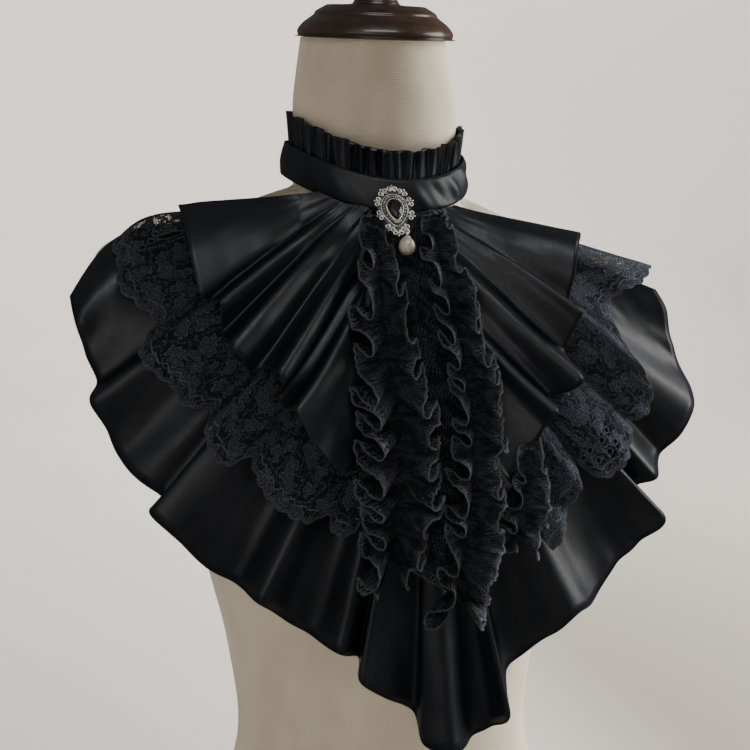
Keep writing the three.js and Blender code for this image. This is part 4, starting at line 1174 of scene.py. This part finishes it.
# The double-edged lace ruffles down the front
RUFFLES = [
    dict(name="ruffle_lace_right", node="ruffle_right", line=RUFFLE_RIGHT, waves=11, raised=2.15),
    dict(name="ruffle_lace_left", node="ruffle_left", line=RUFFLE_LEFT, waves=14, raised=2.15),
    dict(name="ruffle_lace_side", node="ruffle_side", line=RUFFLE_SIDE, waves=4, raised=0),
]
RUFFLE_STANDS = (math.radians(14), math.radians(60))
RUFFLE_TURNS_DOWN = (12, 50)
RUFFLE_FULL_WIDTH = 16
PICOTS = dict(per_wave=8, size=0.05)
# For each: how many waves its turns are apart, and its size
RUFFLE_WANDER = dict(uneven=(0.9, 1.2), curl=(0.4, 2.6), slide=(0.33, 2.4), crimp=(0.14, 0.8),
                     fuller=(0.9, 0.24))


def ruffle_grid(piece, per_wave=40, across=14):
    line = piece["line"]
    waves = piece["waves"]
    pitch = (line["z"][0] - line["z"][-1]) / waves
    along = np.linspace(0, 1, waves * per_wave + 1)
    at = along * (len(line["x"]) - 1)
    x, z, lift, right, left = through_rows(line, at, "x", "z", "lift", "right", "left")
    places = along * waves
    loose = {name: [wander(places, *sizes) for side in range(2)] for name, sizes in RUFFLE_WANDER.items()}
    turn = np.radians(mix(*RUFFLE_TURNS_DOWN, smooth_step(0.75, 1, along)))
    rows = []
    for r in range(-across, across + 1):
        share = abs(r) / across
        side = np.sign(r)
        k = 0 if side < 0 else 1
        width = (right, left)[k] * (1 + loose["fuller"][k])
        phase = 2 * np.pi * waves * along + k * np.pi / 2 + loose["uneven"][k] * share
        phase = phase + 0.75 * share * np.cos(0.62 * phase + 2 * k)
        stand = mix(*RUFFLE_STANDS, 0.5 + 0.5 * np.cos(phase))
        filled = np.minimum(1, width / RUFFLE_FULL_WIDTH)
        free = share**2 * filled
        slip = share**1.2 * pitch * filled * (0.33 * np.cos(phase) + 0.16 * np.sin(2 * phase))
        slip = slip + free * loose["slide"][k]
        picot = np.abs(np.sin(PICOTS["per_wave"] * np.pi * places)) * smooth_step(0.8, 1, share)
        reach = width * share * (1 + PICOTS["size"] * picot)
        out = reach * np.cos(stand)
        up = reach * np.sin(stand) + free * (loose["curl"][k] + loose["crimp"][k]) + piece["raised"]
        rows.append(on_chest(x + side * out * np.cos(turn), z - out * np.sin(turn) - slip, lift + up))
    return np.array(rows)


def make_ruffle(piece):
    grid = ruffle_grid(piece)
    obj = dress(cloth_object(piece["name"], grid, 0.6, two_edges=True), RUFFLE_LACE, piece["node"])
    cords = edge_cords(piece["name"], grid, 0.33, PALE_THREAD, beat=1.7, swell=0.4)
    cut(obj, grid, "gathered", "base_satin", cords)


# The gathered lace panel between the two long ruffles
PANEL = dict(beyond=0.04, tuck=3.5, tuck_share=0.08, gathers=9, depth=0.8)
PANEL_HOLLOW = dict(depth=5.4, start=0.1, end=0.4)
PUCKERS = dict(count=46, size=0.55, second_count=71, second_size=0.3, sway=(11, 0.9))


def make_panel():
    along = np.linspace(0, 1, 420)[:, None]
    share = np.linspace(0, 1, 45)[None, :]
    s = mix(-PANEL["beyond"], 1 + PANEL["beyond"], share)
    right, left = (through_rows(line, along * (len(line["x"]) - 1), "x", "z", "lift")
                   for line in (RUFFLE_RIGHT, RUFFLE_LEFT))
    x, z, lift = (mix(a, b, s) for a, b in zip(right, left))
    start, end = PANEL_HOLLOW["start"], PANEL_HOLLOW["end"]
    hollow = smooth_step(0, start, along) * (1 - smooth_step(start, end, along))
    gathers = PANEL["depth"] * np.cos(2 * np.pi * PANEL["gathers"] * along)
    p = PUCKERS
    sway = wander(share[0] * 40, *p["sway"])[None, :] + 0.4 * np.sin(9 * share + 40 * along)
    puckers = p["size"] * np.cos(2 * np.pi * p["count"] * along + sway)
    puckers = puckers + p["second_size"] * np.cos(2 * np.pi * p["second_count"] * along - 1.6 * sway)
    puckers = puckers * mix(0.5, 1, np.abs(2 * share - 1))
    dip = (gathers + PANEL_HOLLOW["depth"] * hollow) * np.sin(np.pi * share)
    tuck = PANEL["tuck"] * (1 - smooth_step(0, PANEL["tuck_share"], along))
    grid = on_chest(x, z + tuck, lift - dip + puckers)
    panel = dress(cloth_object("gathered_panel", grid, 0.6), RUFFLE_LACE, "front_panel")
    cut(panel, grid, "gathered", "base_satin")


# The collar
BAND_BELLY = 1.2
BAND_CREASE = 0.18
BAND_CREASE_RIGHT = dict(more=0.8, starts=(0.1, 0.4), ends=(1.3, 1.8))
FRILL_ROOT = -4.8
FRILL_LEANS_OUT = (0.2, 4.1)
FRILL_ROWS = 18
FRILL_WANDER = dict(sway=(0.6, 1.9), lean=(1.0, 1.6), pull=(0.7, 1.8), size=(0.5, 0.5))
TAB = dict(half_angle=0.24, low=4, high=16, wall=1.2, clear=1.6)


def collar_grid(steps, heights, outwards):
    half_turn = math.pi - BACK_OPENING / 2
    angle = np.linspace(-half_turn, half_turn, steps + 1)
    up = np.linspace(0, 1, len(heights))
    return np.array([collar_point(angle, h, outwards(angle, s)) for h, s in zip(heights, up)])


def make_band():
    def outwards(angle, up):
        belly = BAND_BELLY * math.sin(math.pi * up) - BAND_WALL / 2
        r = BAND_CREASE_RIGHT
        crease = BAND_CREASE + r["more"] * (
            smooth_step(*r["starts"], angle) * (1 - smooth_step(*r["ends"], angle)))
        slant = np.cos(15 * angle + 5 * up + 1.1 * np.sin(7 * angle))
        fine = 0.25 * np.cos(37 * angle + 9 * up)
        edge = math.sin(math.pi * up) ** 0.6 if 0 < up < 1 else 0.0
        return belly + crease * (slant + fine) * edge

    grid = collar_grid(360, np.linspace(0, BAND_HEIGHT, 15), outwards)
    band = dress(cloth_object("neck_band", grid, BAND_WALL * 0.8), SATIN, "collar_band")
    cut(band, grid, "stretched", "form_cover", edge_cords("neck_band", grid, 0.85, HEM_THREAD, swell=0.1))


def make_frill():
    angles = np.linspace(-math.pi, math.pi, 400)
    loose = {name: wander(angles * 7, *sizes) for name, sizes in FRILL_WANDER.items()}

    def outwards(angle, up):
        at = {name: np.interp(angle, angles, line) for name, line in loose.items()}
        phase = FRILL_WAVES * angle + at["sway"] + up * at["lean"]
        front = smooth_step(0.1, 0.9, np.cos(angle))
        depth = mix(0.7, mix(1.2, 2.4, front), up) * (1 + at["size"])
        wave = np.cos(phase) + 0.22 * up * np.cos(2 * phase + 1.2)
        wave += 0.34 * (1 - up) * np.cos(2.4 * phase + at["pull"])
        return FRILL_ROOT + mix(*FRILL_LEANS_OUT, up) + depth * wave

    up = np.linspace(0, 1, FRILL_ROWS)
    heights = mix(BAND_HEIGHT - FRILL_TUCK, BAND_HEIGHT + FRILL_HEIGHT, up)
    grid = collar_grid(FRILL_WAVES * FRILL_ROWS, heights, outwards)
    grid[..., 2] += up[:, None] ** 2 * wander(np.arange(len(grid[0])) / FRILL_ROWS, 0.9, 1.6)
    frill = dress(cloth_object("neck_frill", grid, 0.6), SATIN, "collar_frill")
    cut(frill, grid, "gathered", "neck_band", [hem_cord("neck_frill_hem", grid[-1], 0.5, HEM_THREAD)])


def make_tab():
    angle = math.pi + np.linspace(-TAB["half_angle"], TAB["half_angle"], 25)
    grid = np.array([
        collar_point(angle, h, BAND_BELLY * math.sin(math.pi * h / BAND_HEIGHT) + TAB["clear"])
        for h in np.linspace(TAB["low"], TAB["high"], 9)
    ])
    tab = dress(cloth_object("back_tab", grid, TAB["wall"]), SATIN, "collar_tab")
    cut(tab, grid, "laid", "neck_band")


# The brooch, in its own plane: x across, y up, from the stone's middle
BROOCH_TURN = np.array(Matrix.Rotation(math.pi / 2 - BROOCH["tilt"], 3, "X"))
BROOCH_AT = np.array([BROOCH["x"], BROOCH["y"], BROOCH["z"]], float)
BROOCH_PLACE = (BROOCH_TURN, BROOCH_AT)
LOBES = 13
# Shares of the brooch's half width, top and bottom
PLATE_EDGE = (0.86, 0.86, 0.86)
INNER_WIRE = (0.68, 0.66, 0.7)
SCROLL_SPOTS = (0.82, 0.88, 0.92)
BEAD_SPOTS = (0.56, 0.54, 0.58)
# For each ring of the stone: its share of the stone's size, and its height
FACETS = ((1.0, 0.0), (1.0, 0.9), (0.86, 1.9), (0.6, 3.0))


def drop_outline(half_width, top, bottom, count, swell=0.0, from_angle=0.0):
    angle = from_angle + full_turn(count)
    up = np.cos(angle)
    narrow = np.where(up < 0, 1 - 0.42 * up * up, 1)
    grown = 1 + swell * np.cos(LOBES * angle)
    across = half_width * np.sin(angle) * narrow * grown
    return np.stack([across, np.where(up > 0, top, bottom) * up * grown], axis=1)


def brooch_outline(shares, count, **more):
    sizes = (BROOCH["half_width"], BROOCH["top"], BROOCH["bottom"])
    return drop_outline(*(size * share for size, share in zip(sizes, shares)), count, **more)


def raised(outline, height):
    return np.concatenate([outline, np.full((len(outline), 1), height)], axis=1)


# Painted shade: a near-black plate behind the filigree darkens the gaps between its wires.
def make_plate():
    base = brooch_outline(PLATE_EDGE, PLATE["points"], swell=PLATE["swell"])
    inner = base * PLATE["middle"]
    low = PLATE["low"]
    high = PLATE["high"]
    faces = grid_faces(2, PLATE["points"], around=True)
    plate = Piece()
    plate.add(np.concatenate([raised(base, low), raised(inner, low)]), [face[::-1] for face in faces])
    plate.add(np.concatenate([raised(base, high), raised(inner, high)]), faces)
    plate.add(np.concatenate([raised(base, low), raised(base, high)]), faces)
    dress(plate.made("filigree_plate", place=BROOCH_PLACE), GAP_SHADE_SILVER)


def add_scrolls(work):
    turn = np.linspace(0, 2 * np.pi * SCROLLS["turns"], 28)
    coil = SCROLLS["radius"] * (1 - SCROLLS["tightens"] * turn / turn[-1])
    for angle in full_turn(SCROLLS["pairs"]):
        spot = brooch_outline(SCROLL_SPOTS, 1, from_angle=angle)[0]
        away = np.array([math.sin(angle), math.cos(angle)])
        aside = np.array([away[1], -away[0]])
        for hand in (-1, 1):
            curl = spot + (SCROLLS["out"] - coil * np.cos(turn))[:, None] * away
            curl = curl + hand * (SCROLLS["apart"] - coil * np.sin(turn))[:, None] * aside
            work.tube(raised(curl, SCROLLS["height"]), SCROLLS["wire"])
            work.bead((*curl[-1], SCROLL_EYE["height"]), SCROLL_EYE["radius"])
        work.bead((*(spot + SCROLL_TIP["out"] * away), SCROLLS["height"]), SCROLL_TIP["radius"])


def add_pin(work):
    up, behind, half = PIN["up"], -PIN["behind"], PIN["half_length"]
    work.tube([(-half, up, behind), (half, up, behind)], PIN["stem"] * 0.8, sides=8)
    for side in (-1, 1):
        x = side * (half - PIN["post"] - 0.2)
        work.tube([(x, up, 0.6), (x, up, behind)], PIN["post"] * 0.9, sides=8)


def make_setting():
    work = Piece()
    work.tube(raised(brooch_outline(INNER_WIRE, 104), 1.3), 0.32, closed=True)
    add_scrolls(work)
    for x, y in brooch_outline(BEAD_SPOTS, BEADS["count"]):
        work.bead((x, y, BEADS["height"]), BEADS["radius"])
    gap = BEZEL["gap"]
    bezel = drop_outline(
        STONE["half_width"] + gap, STONE["top"] + gap, STONE["bottom"] + BEZEL["foot_gap"], 60)
    for height, radius in BEZEL["wires"]:
        work.tube(raised(bezel, height), radius, sides=8, closed=True)
    turn = full_turn(24)
    y = RING["y"] - RING["radius"] + RING["radius"] * np.sin(turn)
    ring = np.stack([RING["x"] + RING["radius"] * np.cos(turn), y], axis=1)
    work.tube(raised(ring, BROOCH["thick"] / 2), RING["wire"], sides=8, closed=True)
    add_pin(work)
    dress(work.made("filigree", place=BROOCH_PLACE), SILVER, "brooch_setting")


def make_stone():
    count = 16
    rings = []
    for k, (share, height) in enumerate(FACETS):
        sizes = (STONE[side] * share for side in ("half_width", "top", "bottom"))
        outline = drop_outline(*sizes, count, from_angle=np.pi / count * (k % 2))
        rings.append(raised(outline, BROOCH["thick"] + 0.3 + height))
    faces = []
    for k in range(len(rings) - 1):
        for c in range(count):
            d = (c + 1) % count
            a0, a1 = k * count + c, k * count + d
            b0, b1 = a0 + count, a1 + count
            faces += [(a0, b0, a1), (a1, b0, b1)] if k % 2 == 0 else [(a0, b1, a1), (a0, b0, b1)]
    stone = Piece()
    stone.add(np.concatenate(rings), faces + end_faces(len(rings), count))
    dress(stone.made("drop_stone", smooth=False, place=BROOCH_PLACE), STONE_LOOK, "brooch_stone")


def make_pearl():
    ring_foot = np.array([RING["x"], RING["y"] - 2 * RING["radius"], BROOCH["thick"] / 2])
    at = BROOCH_TURN @ ring_foot + BROOCH_AT
    down = np.linspace(0, np.pi, 33)
    radius = PEARL["radius"] * np.sin(down) * (1 - 0.08 * (1 - np.cos(down)))
    height = -PEARL["length"] / 2 * np.cos(down)
    above = RING["wire"] + EYE["wire"] + EYE["play"]
    height = height + above - 2 * EYE["radius"] - PEARL["length"] / 2 + EYE["wire"] / 2
    bead = round_object("pearl", lathe(radius[::-1], height[::-1], 40) + at)
    dress(bead, PEARL_LOOK, "brooch_pearl", body="pearl_drop")
    wire = Piece()
    turn = full_turn(24)
    eye_z = above - EYE["radius"] + EYE["radius"] * np.sin(turn)
    eye = np.stack([np.zeros(24), EYE["radius"] * np.cos(turn), eye_z], axis=1)
    wire.tube(eye + at, EYE["wire"], sides=8, closed=True)
    cup = PEARL_CUP["radius"] * np.stack([np.cos(turn), np.sin(turn)], axis=1)
    wire.tube(raised(cup, height.max() - PEARL_CUP["wire"]) + at, PEARL_CUP["wire"], closed=True)
    dress(wire.made("pearl_wire"), SILVER, body="pearl_drop")


make_form()
make_cap()
for piece in FLOUNCES:
    make_flounce(piece)
for piece in RUFFLES:
    make_ruffle(piece)
make_panel()
make_band()
make_frill()
make_tab()
make_plate()
make_setting()
make_stone()
make_pearl()


# Floor, light and camera, in metres but for the floor's profile
FLOOR_PROFILE = table("radius height", [
    (0, 0), (1500, 0), (2400, 20), (3000, 150), (3500, 500), (3800, 1200), (3900, 3200),
])
CHEST = (0, 0, 0.45)
DAYLIGHT = (1.0, 0.985, 0.955)
CAMERA = dict(place=(-0.2385, -0.8902, 0.5796), target=(0, 0, 0.455), lens=64.8, sensor=36)


def make_studio():
    radius, height = through_rows(FLOOR_PROFILE, np.linspace(0, 6, 49), "radius", "height")
    floor = round_object("studio_floor", lathe(radius, height, 96))
    made, n, surface = material("pale_plaster", {"Roughness": 0.95, "Specular IOR Level": 0.1})
    place = object_place(n)
    speck = n.noise(place, 3.0, 3.0)[0]
    plaster = n.blend(speck, (0.76, 0.72, 0.675, 1), (0.8, 0.76, 0.71, 1))
    across, back = n.axes(place)[:2]
    # Painted shade: the plaster is darker to the right, fading out towards the back.
    painted_shade = n.times(n.ease(across, 0.15, 0.48), n.ease(back, 0.5, 3.0, 1.0, 0.0))
    n.put(surface["Base Color"], n.blend(painted_shade, plaster, (0.36, 0.33, 0.29, 1)))
    floor.data.materials.append(made)
    floor.visible_glossy = False
    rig.stage(floor)


def aim(obj, place, target):
    bpy.context.scene.collection.objects.link(obj)
    obj.location = place
    obj.rotation_euler = (Vector(target) - Vector(place)).to_track_quat("-Z", "Y").to_euler()


def area_light(name, place, target, size, power, colour, diffuse=True, glossy=True):
    lamp = bpy.data.lights.new(name, "AREA")
    lamp.shape = "RECTANGLE"
    lamp.size, lamp.size_y = size
    lamp.energy = power
    lamp.color = colour
    obj = bpy.data.objects.new(name, lamp)
    aim(obj, place, target)
    obj.visible_camera = False
    obj.visible_diffuse = diffuse
    obj.visible_glossy = glossy


make_studio()
area_light("window", (2.05, 0.35, 1.0), CHEST, (1.5, 1.7), 140, DAYLIGHT, glossy=False)
area_light("window_glow", (2.0, -0.15, 1.1), CHEST, (1.2, 1.5), 24, DAYLIGHT, diffuse=False)
area_light("skylight", (-0.1, -1.2, 2.0), CHEST, (1.2, 0.5), 9.5, (0.95, 0.97, 1.0), diffuse=False)
area_light("front_glow", (-0.7, -2.1, 0.75), CHEST, (1.3, 0.6), 3, (1.0, 0.93, 0.92), diffuse=False)
area_light("room", (-1.4, -1.9, 1.2), (0, 0, 0.4), (1.6, 1.4), 4.6, (0.93, 0.96, 1.0))
area_light("wall_wash", (0.5, 1.6, 2.4), (0.6, 3.8, 0.7), (2.6, 0.8), 92, (1.0, 0.985, 0.965))

world = bpy.data.worlds.new("daylight")
bpy.context.scene.world = world
world.use_nodes = True
sky = world.node_tree.nodes["Background"].inputs
sky["Color"].default_value = (0.9, 0.91, 0.93, 1)
sky["Strength"].default_value = 0.1

lens = bpy.data.cameras.new("camera")
lens.sensor_width = CAMERA["sensor"]
lens.lens = CAMERA["lens"]
lens.clip_start = 0.01
lens.clip_end = 50
camera = bpy.data.objects.new("camera", lens)
aim(camera, CAMERA["place"], CAMERA["target"])
bpy.context.scene.camera = camera

with open("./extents.json", "w") as out:
    json.dump({"cad": [list(c) for c in cad_box], "visual": [list(c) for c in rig.bounds()]}, out)
